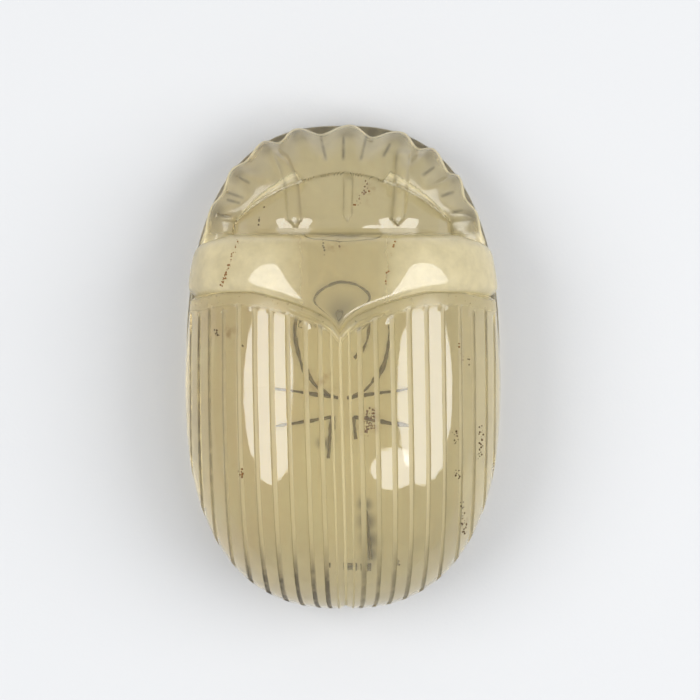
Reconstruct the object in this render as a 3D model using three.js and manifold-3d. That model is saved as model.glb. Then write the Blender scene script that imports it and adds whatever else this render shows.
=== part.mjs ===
// A scarab amulet carved from one pebble of see-through, smoky yellow quartz.
// A ribbed back, a plain thorax and a scalloped head stand on an oval plate, with the legs in relief
// around the side and an outlined looped cross engraved in the underside.
// Millimetres, +Y towards the head, +Z up, origin on the underside at the middle of the outline.
import * as THREE from "three";
import { ParametricGeometry } from "three/addons/geometries/ParametricGeometry.js";
import { mergeVertices } from "three/addons/utils/BufferGeometryUtils.js";
import Module from "manifold-3d";

// Overall size
const LENGTH = 54;
const WIDTH = 35;
const HEIGHT = 19;

// Plate, and the band between plate and back that holds the legs
const PLATE_THICKNESS = 3.2;
const PLATE_EDGE_ROUND = 0.35;
const PLATE_TAIL_SETBACK = 0.35;
const PLATE_HEAD_SETBACK = 0.3;
const BAND_HEIGHT = 3.2;
const BAND_INSET = 1.7;
const LEG_WIDTH = 1.9;
const LEG_PROUD = 0.95;

// Ribbed back
const BACK_LIP = 0.35;
const GROOVE_WIDTH = 0.52;
const GROOVE_DEPTH = 0.36;
const SUTURE_WIDTH = 0.6;
const SUTURE_DEPTH = 0.42;
const RIB_MARGIN = 1.35;
const BORDER_OFFSET = 0.85;
const BORDER_REACH = 5.6;
const TAIL_NOTCH_WIDTH = 1.5;
const TAIL_NOTCH_DEPTH = 0.5;
const SHOULDER_INSET = 0.25;
const MIDDLE_SHIFT_FRONT = -0.35;
const MIDDLE_SHIFT_TAIL = 0.35;

// Thorax
const THORAX_ROLL = 0.42;
const THORAX_EDGE_DROP = 0.55;
const THORAX_CORNER = 0.55;

// Head, with its scalloped rim
const MIDDLE_LOBE_PROUD = 0.3;
const HEAD_EDGE_THICKNESS = 1.9;
const NAPE_STEP = 1.1;
const SCALLOP_DEPTH = 1.05;
const VALLEY_DEPTH = 0.7;
const RIM_RISE = 0.55;
const RIM_BEVEL = 0.7;
const HEAD_RIDGE_WIDTH = 1.0;
const HEAD_RIDGE_HEIGHT = 0.38;
const NICK_WIDTH = 0.42;
const NICK_DEPTH = 0.32;
const NICK_LENGTH = 1.5;
const NICK_FROM_EDGE = 2.6;

// Engraving of the underside
const STROKE_WIDTH = 0.5;
const STROKE_DEPTH = 0.38;

// Free form: places as shares of the half length and half width, angles in degrees
const HEAD_OUTLINE_POWER = 2.6;
const TAIL_OUTLINE_POWER = 2.46;
const WIDEST_AT = -0.063;
const HIGHEST_AT = -0.075;
const DOME_POWER = 2.2;
const DOME_FRONT_REACH = 0.76;
const THORAX_FRONT_AT = 0.53;
const THORAX_REAR_AT = 0.293;
const V_WIDE_DROP = 0.107;
const V_TIP_DROP = 0.059;
const V_WIDE_REACH = 0.54;
const V_TIP_REACH = 0.063;
const V_WIDE_POWER = 1.2;
const CORNER_DROP = 0.028;
const CORNER_FROM = 0.72;
const THORAX_ROLL_POWER = 6;
const GROOVE_CONVERGENCE = 0.15;
const FIRST_GROOVE_ANGLE = 7;
const GROOVE_ANGLE_STEP = 5.6;
const GROOVE_ANGLE_GROWTH = 0.2;
const GROOVES_PER_WING = 10;
const BORDER_GROOVE_ANGLE = 3.2;
const TOOTH_ANGLES = [0, 25, 43, 62, 79.5];
const NOTCH_ANGLES = [15, 37, 54, 71];
const NOTCH_POWER = 1.5;
const NICK_ANGLES = [57, 69, 79.5];
const TOOTH_SKEW = 3;
const RIM_INNER_RADIUS = 0.383;
const RIM_INNER_SPREAD = 0.3;
const RIM_INNER_POWER = 2.6;
const LAST_HEAD_ANGLE = 88;
const HEAD_ROUNDING = 0.75;
const HEAD_RIDGE_END = 0.568;
const HEAD_RIDGES = [
  { at: -0.3, length: 0.2 },
  { at: 0.013, length: 0.2 },
  { at: 0.352, length: 0.325 },
];

// Sizes that follow from those above
const HALF_LENGTH = LENGTH / 2;
const HALF_WIDTH = WIDTH / 2;
const RIM_Z = PLATE_THICKNESS + BAND_HEIGHT;
const LIP_Z = RIM_Z - BACK_LIP;
const HEAD_UNDERSIDE_Z = PLATE_THICKNESS + BAND_HEIGHT / 2;
const DOME_HEIGHT = HEIGHT - RIM_Z;
const WIDEST_Y = WIDEST_AT * HALF_LENGTH;
const HIGHEST_Y = HIGHEST_AT * HALF_LENGTH;
const HEAD_Y = THORAX_FRONT_AT * HALF_LENGTH;
const THORAX_REAR_Y = THORAX_REAR_AT * HALF_LENGTH;
const RADIANS = Math.PI / 180;

// How finely the surfaces are cut, and how far joined bodies reach into each other
const OVERLAP = 1;
const SMALLEST_DETAIL = 0.02;
const PLAN_SIDES = 56;
const TAIL_ROWS = 15;
const LEVEL_ROWS = 0.25;
const THORAX_COLUMNS = 30;
const THORAX_ROWS = 14;
const HEAD_UNDER_ROWS = 4;
const LOOP_STEPS = 22;

const wasm = await Module();
wasm.setup();

const clamp01 = (x) => Math.min(1, Math.max(0, x));
const smooth = (x) => clamp01(x) ** 2 * (3 - 2 * clamp01(x));
const lerp = THREE.MathUtils.lerp;

// The solid of a closed three.js geometry, turned so that its faces point out.
function solidOf(geometry) {
  geometry.deleteAttribute("normal");
  geometry.deleteAttribute("uv");
  const merged = mergeVertices(geometry, 1e-4);
  const index = merged.index.array;
  const faces = [];
  for (let i = 0; i < index.length; i += 3) {
    const [a, b, c] = index.slice(i, i + 3);
    if (a !== b && b !== c && c !== a) faces.push([a, b, c]);
  }
  const build = (list) =>
    new wasm.Manifold(
      new wasm.Mesh({
        numProp: 3,
        vertProperties: merged.attributes.position.array,
        triVerts: new Uint32Array(list.flat()),
      }),
    );
  const made = build(faces);
  return made.volume() > 0 ? made : build(faces.map(([a, b, c]) => [a, c, b]));
}

// A closed loft: ring(u, v) gives the surface, and the first and last ring close on the points given.
function loft(ring, around, along, start, end) {
  const surface = (u, v, target) => {
    if (v < 1e-6) target.copy(start);
    else if (v > 1 - 1e-6) target.copy(end);
    else target.copy(ring(u % 1, v));
  };
  return solidOf(new ParametricGeometry(surface, around, along));
}

// Half the width at y of an oval that is widest at WIDEST_Y and ends at head and at -tail.
function ovalHalfWidth(y, halfWidth, head, tail) {
  const ahead = y > WIDEST_Y;
  const power = ahead ? HEAD_OUTLINE_POWER : TAIL_OUTLINE_POWER;
  const reach = ahead ? head - WIDEST_Y : WIDEST_Y + tail;
  return halfWidth * (1 - clamp01(Math.abs(y - WIDEST_Y) / reach) ** power) ** (1 / power);
}

// A point of the plate's outline, set in by inset. Angle 0 is the head end, 90 the +X side.
function platePoint(angle, inset, z) {
  const c = Math.cos(angle);
  const s = Math.sin(angle);
  const head = HALF_LENGTH - PLATE_HEAD_SETBACK - WIDEST_Y;
  const tail = HALF_LENGTH - PLATE_TAIL_SETBACK + WIDEST_Y;
  const reach = (c > 0 ? head : tail) - inset;
  const power = 2 / (c > 0 ? HEAD_OUTLINE_POWER : TAIL_OUTLINE_POWER);
  return new THREE.Vector3(
    Math.sign(s) * (HALF_WIDTH - inset) * Math.abs(s) ** power,
    WIDEST_Y + Math.sign(c) * reach * Math.abs(c) ** power,
    z,
  );
}

function plateShape(inset, sides) {
  const points = [];
  for (let i = 0; i < sides; i++) {
    const p = platePoint((-i * 2 * Math.PI) / sides, inset, 0);
    points.push(new THREE.Vector2(p.x, p.y));
  }
  return new THREE.Shape(points);
}

// How far the middle line of the back stands off the middle at y.
function middleShift(y) {
  return lerp(MIDDLE_SHIFT_FRONT, MIDDLE_SHIFT_TAIL, smooth((THORAX_REAR_Y - y) / LENGTH / 0.65));
}

// How much the thorax's edges bend towards the tail at the sides.
function cornerDrop(x) {
  return CORNER_DROP * HALF_LENGTH * smooth((Math.abs(x) / HALF_WIDTH - CORNER_FROM) / (1 - CORNER_FROM));
}

// The edge of the thorax against the ribbed back: level at the sides, dropping to a V at the middle.
function rearEdgeY(x) {
  const s = Math.abs(x - MIDDLE_SHIFT_FRONT) / HALF_WIDTH;
  const wide = V_WIDE_DROP * clamp01(1 - s / V_WIDE_REACH) ** V_WIDE_POWER;
  const tip = V_TIP_DROP * Math.exp(-s / V_TIP_REACH);
  return THORAX_REAR_Y - (wide + tip) * HALF_LENGTH - cornerDrop(x);
}

// Half the width of the back's rim at y.
function backHalfWidth(y) {
  const shoulder = SHOULDER_INSET * smooth((y - WIDEST_Y) / (HALF_LENGTH / 4));
  return ovalHalfWidth(y, HALF_WIDTH - shoulder, HALF_LENGTH - PLATE_HEAD_SETBACK, HALF_LENGTH);
}

// Height of the back above its rim along the middle line.
function backHeight(y) {
  const reach = y > HIGHEST_Y ? DOME_FRONT_REACH * HALF_LENGTH : HALF_LENGTH + HIGHEST_Y;
  const share = clamp01(Math.abs(y - HIGHEST_Y) / reach);
  return DOME_HEIGHT * (1 - share ** DOME_POWER) ** (1 / DOME_POWER);
}

// A point of the smooth back. The angle runs from -90 degrees at the -X rim to 90 at the +X rim.
function backPoint(angle, y, inset = 0, proud = 0) {
  return new THREE.Vector3(
    (backHalfWidth(y) - inset + proud) * Math.sin(angle),
    y,
    RIM_Z + (backHeight(y) + proud) * Math.cos(angle),
  );
}

function backAngle(x, y) {
  return Math.asin(THREE.MathUtils.clamp(x / backHalfWidth(y), -1, 1));
}

function backNormal(angle, y) {
  const step = 0.02;
  const across = backPoint(angle + step, y).sub(backPoint(angle - step, y));
  const along = backPoint(angle, y + step).sub(backPoint(angle, y - step));
  return across.cross(along).normalize();
}

// A gabled bar along a path on a surface: its edge stands at the given height over the surface, its
// sides are the given width apart at the surface, and its base lies as far under it as sink says.
// A negative height gives a bar that cuts a groove. at(t) gives a point and the outward normal there.
function barAlong(at, width, height, sink, steps) {
  const base = -Math.sign(height) * sink;
  const section = [[0, height], [width / 2, 0], [width / 2, base], [-width / 2, base], [-width / 2, 0]];
  const ring = (u, v) => {
    const t = clamp01((v * (steps + 2) - 1) / steps);
    const { point, normal } = at(t);
    const ahead = at(Math.min(1, t + 0.01)).point;
    const behind = at(Math.max(0, t - 0.01)).point;
    const side = ahead.sub(behind).cross(normal).normalize();
    const [across, up] = section[Math.round(u * section.length) % section.length];
    return point.addScaledVector(side, across).addScaledVector(normal, up);
  };
  const cap = (t) => {
    const { point, normal } = at(t);
    return point.addScaledVector(normal, base);
  };
  return loft(ring, section.length, steps + 2, cap(0), cap(1));
}

// The oval plate with its rounded edge.
function plate() {
  const round = PLATE_EDGE_ROUND;
  const geometry = new THREE.ExtrudeGeometry(plateShape(round, PLAN_SIDES), {
    depth: PLATE_THICKNESS - 2 * round,
    bevelThickness: round,
    bevelSize: round,
    bevelSegments: 1,
    curveSegments: 1,
  });
  geometry.translate(0, 0, round);
  return solidOf(geometry);
}

// The set-in wall between plate and back.
function band() {
  const depth = RIM_Z + OVERLAP - PLATE_THICKNESS / 2;
  const options = { depth, bevelEnabled: false, curveSegments: 1 };
  const geometry = new THREE.ExtrudeGeometry(plateShape(BAND_INSET, PLAN_SIDES), options);
  geometry.translate(0, 0, PLATE_THICKNESS / 2);
  return solidOf(geometry);
}

// One leg in relief on the band: thigh down from the back, shin along the plate.
function leg(side, thighAngle, kneeAngle, footAngle) {
  const top = RIM_Z + 0.1 * BAND_HEIGHT;
  const low = PLATE_THICKNESS + 0.3 * BAND_HEIGHT;
  const inset = BAND_INSET - LEG_PROUD + LEG_WIDTH / 2;
  const places = [
    [thighAngle, top],
    [lerp(thighAngle, kneeAngle, 0.5), lerp(top, low, 0.45)],
    [kneeAngle, low],
    [lerp(kneeAngle, footAngle, 0.5), low],
    [footAngle, low],
  ];
  const points = places.map(([angle, z]) => platePoint(side * angle * RADIANS, inset, z));
  const section = new THREE.Shape();
  section.absellipse(0, 0, LEG_WIDTH / 2, LEG_WIDTH / 2, 0, 2 * Math.PI);
  const geometry = new THREE.ExtrudeGeometry(section, {
    steps: 8,
    curveSegments: 4,
    bevelEnabled: false,
    extrudePath: new THREE.CatmullRomCurve3(points, false, "centripetal"),
  });
  return solidOf(geometry);
}

// Where a line of the ribbed back lies at y, from its angle where the back is widest.
function lineX(degrees, y) {
  const rim = backHalfWidth(y);
  const x = HALF_WIDTH * Math.sin(degrees * RADIANS) * (rim / HALF_WIDTH) ** GROOVE_CONVERGENCE;
  const shifted = x + middleShift(y) * Math.cos(degrees * RADIANS) ** 2;
  return THREE.MathUtils.clamp(shifted, -rim, rim);
}

// The lines of the ribbed back from the -X rim to the +X rim, each with the depth it is cut to.
function backLines() {
  const lines = [{ degrees: 0, depth: SUTURE_DEPTH, plain: true }];
  const cut = (degrees, width, plain) => {
    const a = degrees * RADIANS;
    const radius = Math.hypot(HALF_WIDTH * Math.cos(a), DOME_HEIGHT * Math.sin(a));
    const half = width / 2 / radius / RADIANS;
    lines.push({ degrees: degrees - half, depth: 0 });
    lines.push({ degrees, depth: GROOVE_DEPTH, plain });
    lines.push({ degrees: degrees + half, depth: 0 });
  };
  lines.push({ degrees: SUTURE_WIDTH / 2 / HALF_WIDTH / RADIANS, depth: 0 });
  cut(BORDER_GROOVE_ANGLE, GROOVE_WIDTH, true);
  for (let k = 0; k < GROOVES_PER_WING; k++)
    cut(FIRST_GROOVE_ANGLE + GROOVE_ANGLE_STEP * k + GROOVE_ANGLE_GROWTH * k * k, GROOVE_WIDTH, false);
  lines.push({ degrees: 82, depth: 0 }, { degrees: 90, depth: 0 });
  const mirrored = lines.slice(1).reverse();
  return [...mirrored.map((line) => ({ ...line, degrees: -line.degrees })), ...lines];
}

// The ribbed back, from under the thorax to the tail.
function ribbedBack() {
  const lines = backLines();
  const under = [0.6, 0, -0.6];
  const half = GROOVE_WIDTH / 2;
  const margin = [0, BORDER_OFFSET - half, BORDER_OFFSET, BORDER_OFFSET + half, RIB_MARGIN];
  const around = lines.length + under.length;
  const rows = 1 + margin.length + TAIL_ROWS;
  const rowY = (edge, row) => {
    if (row <= 1) return edge + OVERLAP;
    if (row <= 1 + margin.length) return edge - margin[row - 2];
    const share = (row - 1 - margin.length) / TAIL_ROWS;
    const levelled = lerp(edge, THORAX_REAR_Y, smooth(share / LEVEL_ROWS)) - RIB_MARGIN;
    return lerp(levelled, -HALF_LENGTH, Math.sin((share * Math.PI) / 2));
  };
  const ring = (u, v) => {
    const row = Math.round(v * rows);
    const column = Math.round(u * around) % around;
    if (column >= lines.length) {
      const y = rowY(rearEdgeY(HALF_WIDTH), row);
      const across = under[column - lines.length];
      return new THREE.Vector3(across * backHalfWidth(y), y, LIP_Z);
    }
    const { degrees, depth, plain } = lines[column];
    const start = lineX(degrees, THORAX_REAR_Y);
    const y = rowY(rearEdgeY(start), row);
    const angle = backAngle(lineX(degrees, y), y);
    const onBorder = row === 4 && Math.abs(start - MIDDLE_SHIFT_FRONT) < BORDER_REACH;
    const ribbed = plain ? row > 2 : row > 1 + margin.length;
    const rimmed = Math.abs(angle) > 89 * RADIANS;
    const cut = rimmed ? 0 : Math.max(onBorder ? GROOVE_DEPTH : 0, ribbed ? depth : 0);
    const tucked = row <= 1 ? THORAX_CORNER : 0;
    return backPoint(angle, y, tucked, -tucked).addScaledVector(backNormal(angle, y), -cut);
  };
  const front = new THREE.Vector3(0, rearEdgeY(0) + OVERLAP, RIM_Z + DOME_HEIGHT / 2);
  const solid = loft(ring, around, rows, front, new THREE.Vector3(0, -HALF_LENGTH, RIM_Z));
  return solid.subtract(tailNotch());
}

// The notch between the two rounded tips of the tail.
function tailNotch() {
  const x = MIDDLE_SHIFT_TAIL;
  const low = new THREE.Vector3(x, -HALF_LENGTH, LIP_Z - OVERLAP);
  const high = new THREE.Vector3(x, -HALF_LENGTH, RIM_Z + DOME_HEIGHT / 3);
  const at = (t) => ({ point: low.clone().lerp(high, t), normal: new THREE.Vector3(0, -1, 0) });
  return barAlong(at, TAIL_NOTCH_WIDTH, -TAIL_NOTCH_DEPTH, OVERLAP, 1);
}

// The plain, rolled thorax between the head and the V edge.
function thorax() {
  const around = THORAX_COLUMNS + 6;
  const top = THORAX_COLUMNS / around;
  const ring = (u, v) => {
    const angle = (clamp01(u / top) - 0.5) * Math.PI;
    const t = (1 - Math.cos(Math.PI * clamp01((v * THORAX_ROWS - 1) / (THORAX_ROWS - 2)))) / 2;
    const x = backHalfWidth(HEAD_Y) * Math.sin(angle);
    const y = lerp(HEAD_Y - cornerDrop(x), rearEdgeY(x), t);
    const edge = Math.abs(2 * t - 1) ** THORAX_ROLL_POWER;
    const proud = lerp(THORAX_ROLL, -THORAX_EDGE_DROP, edge);
    const inset = THORAX_CORNER * edge;
    if (u <= top) return backPoint(angle, y, inset * Math.abs(Math.sin(angle)), proud);
    const across = 1 - (2 * (u - top)) / (1 - top);
    return new THREE.Vector3(across * (backHalfWidth(y) - inset + proud), y, LIP_Z);
  };
  const middle = RIM_Z + backHeight(HEAD_Y) / 2;
  const front = new THREE.Vector3(0, HEAD_Y, middle);
  const rear = new THREE.Vector3(0, rearEdgeY(0), middle);
  return loft(ring, around, THORAX_ROWS, front, rear);
}

// The angles of the head's columns: tips, notches and even steps between them, then round the back.
function headAngles() {
  const half = [...TOOTH_ANGLES, ...NOTCH_ANGLES, LAST_HEAD_ANGLE].sort((a, b) => a - b);
  const fan = [...half.slice(1).reverse().map((a) => -a), ...half];
  const angles = [];
  for (let i = 0; i + 1 < fan.length; i++)
    for (let k = 0; k < 3; k++) angles.push(lerp(fan[i], fan[i + 1], k / 3));
  for (const a of [LAST_HEAD_ANGLE, 96, 110, 135, 180, 225, 250, 264]) angles.push(a);
  return angles.map((a) => (a + TOOTH_SKEW * Math.max(0, Math.cos(a * RADIANS))) * RADIANS);
}

// How far a direction is from tooth tip, 0, to notch, 1.
function notchShare(angle) {
  const skewed = angle / RADIANS - TOOTH_SKEW * Math.max(0, Math.cos(angle));
  const a = Math.abs(skewed);
  const i = Math.max(0, TOOTH_ANGLES.findLastIndex((tip) => tip <= a));
  const notch = NOTCH_ANGLES[i] ?? 96;
  const share = a <= notch
    ? (a - TOOTH_ANGLES[i]) / (notch - TOOTH_ANGLES[i])
    : (TOOTH_ANGLES[i + 1] - a) / (TOOTH_ANGLES[i + 1] - notch);
  return clamp01(share) ** NOTCH_POWER;
}

// Distance from the head's centre to the full outline, and to the scalloped one.
function headReach(angle) {
  const s = Math.abs(Math.sin(angle));
  const c = Math.cos(angle);
  let low = 0;
  let high = HALF_LENGTH;
  for (let i = 0; i < 40; i++) {
    const r = (low + high) / 2;
    const inside = r * s < backHalfWidth(HEAD_Y + r * c);
    if (inside) low = r;
    else high = r;
  }
  return c < 0 ? Math.min(low, (2 * OVERLAP) / -c) : low + MIDDLE_LOBE_PROUD * c ** 16;
}

function headRadius(angle) {
  const cut = Math.cos(angle) > 0 ? SCALLOP_DEPTH * notchShare(angle) : 0;
  return headReach(angle) - cut;
}

function rimInnerRadius(angle) {
  const share = Math.min(1, Math.abs(angle) / (83 * RADIANS));
  return HALF_WIDTH * (RIM_INNER_RADIUS + RIM_INNER_SPREAD * share ** RIM_INNER_POWER);
}

// A point of the head's upper side, r from its centre.
function headPoint(angle, r) {
  const reach = headRadius(angle);
  const edge = HEAD_UNDERSIDE_Z + HEAD_EDGE_THICKNESS;
  const nape = RIM_Z + backHeight(HEAD_Y) - NAPE_STEP;
  const inner = rimInnerRadius(angle);
  const rise = RIM_RISE * smooth((r - inner) / RIM_BEVEL);
  const out = clamp01((r - inner) / (reach - inner));
  const valley = Math.cos(angle) > 0 ? VALLEY_DEPTH * notchShare(angle) * out : 0;
  const fall = (1 - clamp01(r / reach) ** 2) ** HEAD_ROUNDING;
  const relief = (rise - valley) * (1 - clamp01(r / reach) ** 12);
  return new THREE.Vector3(
    r * Math.sin(angle),
    HEAD_Y + r * Math.cos(angle),
    lerp(edge, nape, fall) + relief,
  );
}

function headNormal(angle, r) {
  const step = 0.01;
  const out = headPoint(angle, r + step).sub(headPoint(angle, r - step));
  const round = headPoint(angle + step, r).sub(headPoint(angle - step, r));
  return round.cross(out).normalize();
}

function head() {
  const angles = headAngles();
  const places = [0, 0.45, 0.85, 1, 1.5, 2, 2.45, 2.8, 2.94, 3];
  const rows = places.length + HEAD_UNDER_ROWS;
  const ring = (u, v) => {
    const angle = angles[Math.round(u * angles.length) % angles.length];
    const row = Math.round(v * rows);
    const reach = headRadius(angle);
    if (row >= places.length) {
      const share = 1 - (row - places.length) / HEAD_UNDER_ROWS;
      const p = headPoint(angle, reach * share);
      p.z = HEAD_UNDERSIDE_Z;
      return p;
    }
    const inner = Math.min(rimInnerRadius(angle), 0.8 * reach);
    const bevel = Math.min(inner + RIM_BEVEL, 0.9 * reach);
    const k = places[row];
    if (k <= 1) return headPoint(angle, inner * k);
    if (k <= 2) return headPoint(angle, lerp(inner, bevel, k - 1));
    return headPoint(angle, lerp(bevel, reach, k - 2));
  };
  const top = headPoint(0, 0);
  return loft(ring, angles.length, rows, top, new THREE.Vector3(0, HEAD_Y, HEAD_UNDERSIDE_Z));
}

// A straight path over the head in plan, from one place to another.
function headPathAt(from, to) {
  return (t) => {
    const p = from.clone().lerp(to, t);
    const angle = Math.atan2(p.x, p.y - HEAD_Y);
    const r = Math.hypot(p.x, p.y - HEAD_Y);
    return { point: headPoint(angle, r), normal: headNormal(angle, r) };
  };
}

// The three ridges that run over the head towards the thorax.
function headRidges() {
  const end = HEAD_RIDGE_END * HALF_LENGTH;
  return HEAD_RIDGES.map(({ at, length }) => {
    const x = at * HALF_WIDTH;
    const from = new THREE.Vector2(x, end + length * HALF_LENGTH);
    const path = headPathAt(from, new THREE.Vector2(x, end));
    return barAlong(path, HEAD_RIDGE_WIDTH, HEAD_RIDGE_HEIGHT, OVERLAP, 7);
  });
}

// Short cuts on the toothed front legs, square to the rim.
function rimNicks() {
  const nicks = [];
  for (const side of [-1, 1])
    for (const degrees of NICK_ANGLES) {
      const angle = side * degrees * RADIANS;
      const out = new THREE.Vector2(Math.sin(angle), Math.cos(angle));
      const place = (inset) =>
        out.clone().multiplyScalar(headReach(angle) - inset).add(new THREE.Vector2(0, HEAD_Y));
      const path = headPathAt(place(NICK_FROM_EDGE - NICK_LENGTH), place(NICK_FROM_EDGE));
      nicks.push(barAlong(path, NICK_WIDTH, -NICK_DEPTH, NICK_DEPTH, 2));
    }
  return nicks;
}

// The looped cross on the underside, as outline strokes. Places are shares of the half length and width.
function crossStrokes() {
  const barTop = -0.13;
  const barLow = -0.2;
  const flare = 0.035;
  const armReach = 0.26;
  const neck = 0.045;
  const foot = 0.115;
  const footY = -0.73;
  const loopTop = 0.285;
  const place = (x, y) => new THREE.Vector3(x * HALF_WIDTH, y * HALF_LENGTH, 0);
  const loop = (width, top, low, gap) => {
    const points = [];
    for (let i = 0; i <= LOOP_STEPS; i++) {
      const a = lerp(gap, 2 * Math.PI - gap, i / LOOP_STEPS);
      const x = width * Math.sin(a) * lerp(0.62, 1, Math.sin(a / 2) ** 2);
      points.push(place(x, lerp(low, top, (1 - Math.cos(a)) / 2)));
    }
    return new THREE.CatmullRomCurve3(points);
  };
  const line = (a, b) => new THREE.LineCurve3(a, b);
  const strokes = [
    [loop(0.19, loopTop, barTop, 0.3), LOOP_STEPS],
    [loop(0.11, loopTop - 0.06, barTop + 0.09, -0.15), LOOP_STEPS],
    [line(place(-foot, footY), place(foot, footY)), 1],
    [line(place(-foot, footY - 0.018), place(foot, footY - 0.018)), 1],
  ];
  for (const side of [-1, 1]) {
    const x = (share) => side * share;
    strokes.push([line(place(x(0.02), barTop), place(x(armReach), barTop + flare)), 1]);
    strokes.push([line(place(x(neck), barLow), place(x(armReach), barLow - flare)), 1]);
    strokes.push([line(place(x(armReach), barTop + flare), place(x(armReach), barLow - flare)), 1]);
    strokes.push([line(place(x(neck), barLow), place(x(foot), footY)), 1]);
  }
  const down = new THREE.Vector3(0, 0, -1);
  return strokes.map(([curve, steps]) => {
    const at = (t) => ({ point: curve.getPoint(t), normal: down.clone() });
    return barAlong(at, STROKE_WIDTH, -STROKE_DEPTH, STROKE_DEPTH, steps);
  });
}

function scarab() {
  const parts = [band(), ribbedBack(), thorax(), head(), ...headRidges()];
  for (const side of [-1, 1]) {
    parts.push(leg(side, 72, 56, 30));
    parts.push(leg(side, 88, 98, 116));
    parts.push(leg(side, 108, 126, 154));
  }
  const whole = parts.reduce((solid, part) => solid.add(part), plate());
  const carved = [...rimNicks(), ...crossStrokes()].reduce((solid, cut) => solid.subtract(cut), whole);
  return carved.simplify(SMALLEST_DETAIL);
}

const mesh = scarab().getMesh();
const geometry = new THREE.BufferGeometry();
geometry.setAttribute("position", new THREE.BufferAttribute(mesh.vertProperties, 3));
geometry.setIndex(new THREE.BufferAttribute(mesh.triVerts, 1));
geometry.computeVertexNormals();

const quartz = new THREE.MeshStandardMaterial({
  color: new THREE.Color(0.72, 0.62, 0.36),
  roughness: 0.15,
  metalness: 0,
  transparent: true,
  opacity: 0.7,
});

const scarabMesh = new THREE.Mesh(geometry, quartz);
scarabMesh.name = "scarab";
const amulet = new THREE.Group();
amulet.add(scarabMesh);

export default amulet;
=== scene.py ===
"""A scarab amulet carved from see-through smoky quartz, lying on pale paper under two soft boxes.

The carving repeats the solid's form at a finer cut: ribbed back, rolled thorax, scalloped head, plate
and legs are made as closed lofts, joined into one stone, and engraved from below. Flaws sealed in the
stone are pieces of their own. Carving sizes are in millimetres, and meshes are made in metres.
"""

import logging
import math
from dataclasses import dataclass, field
from enum import Enum
from typing import Any, Sequence

import bpy
import numpy as np
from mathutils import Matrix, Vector

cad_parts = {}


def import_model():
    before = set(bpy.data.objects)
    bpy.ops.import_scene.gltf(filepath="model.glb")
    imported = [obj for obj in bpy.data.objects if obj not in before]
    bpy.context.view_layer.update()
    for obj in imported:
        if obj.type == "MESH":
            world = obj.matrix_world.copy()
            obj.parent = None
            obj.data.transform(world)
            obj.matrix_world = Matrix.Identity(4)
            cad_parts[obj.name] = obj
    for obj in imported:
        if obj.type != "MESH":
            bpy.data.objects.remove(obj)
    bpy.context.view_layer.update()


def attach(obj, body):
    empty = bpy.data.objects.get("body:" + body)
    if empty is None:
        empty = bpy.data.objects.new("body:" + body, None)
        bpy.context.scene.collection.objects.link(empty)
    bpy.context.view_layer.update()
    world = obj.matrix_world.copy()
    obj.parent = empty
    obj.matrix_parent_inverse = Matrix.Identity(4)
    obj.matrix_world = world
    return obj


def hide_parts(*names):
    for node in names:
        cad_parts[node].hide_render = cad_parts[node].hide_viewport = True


LOG = logging.getLogger("scarab")

MM = 0.001
BODY = "root"
NODE = "scarab"

Array = np.ndarray
Colour = tuple[float, float, float]


def smooth(x: Array) -> Array:
    """Ease x from 0 to 1 with level ends."""
    t = np.clip(x, 0.0, 1.0)
    return t * t * (3.0 - 2.0 * t)


def mix(a: Array, b: Array, t: Array) -> Array:
    """Go from a at t 0 to b at t 1."""
    return a + (b - a) * t


class Finish(Enum):
    """How far a surface of the stone was worked."""

    SATIN = 0.55
    GROUND = 1.0


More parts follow.
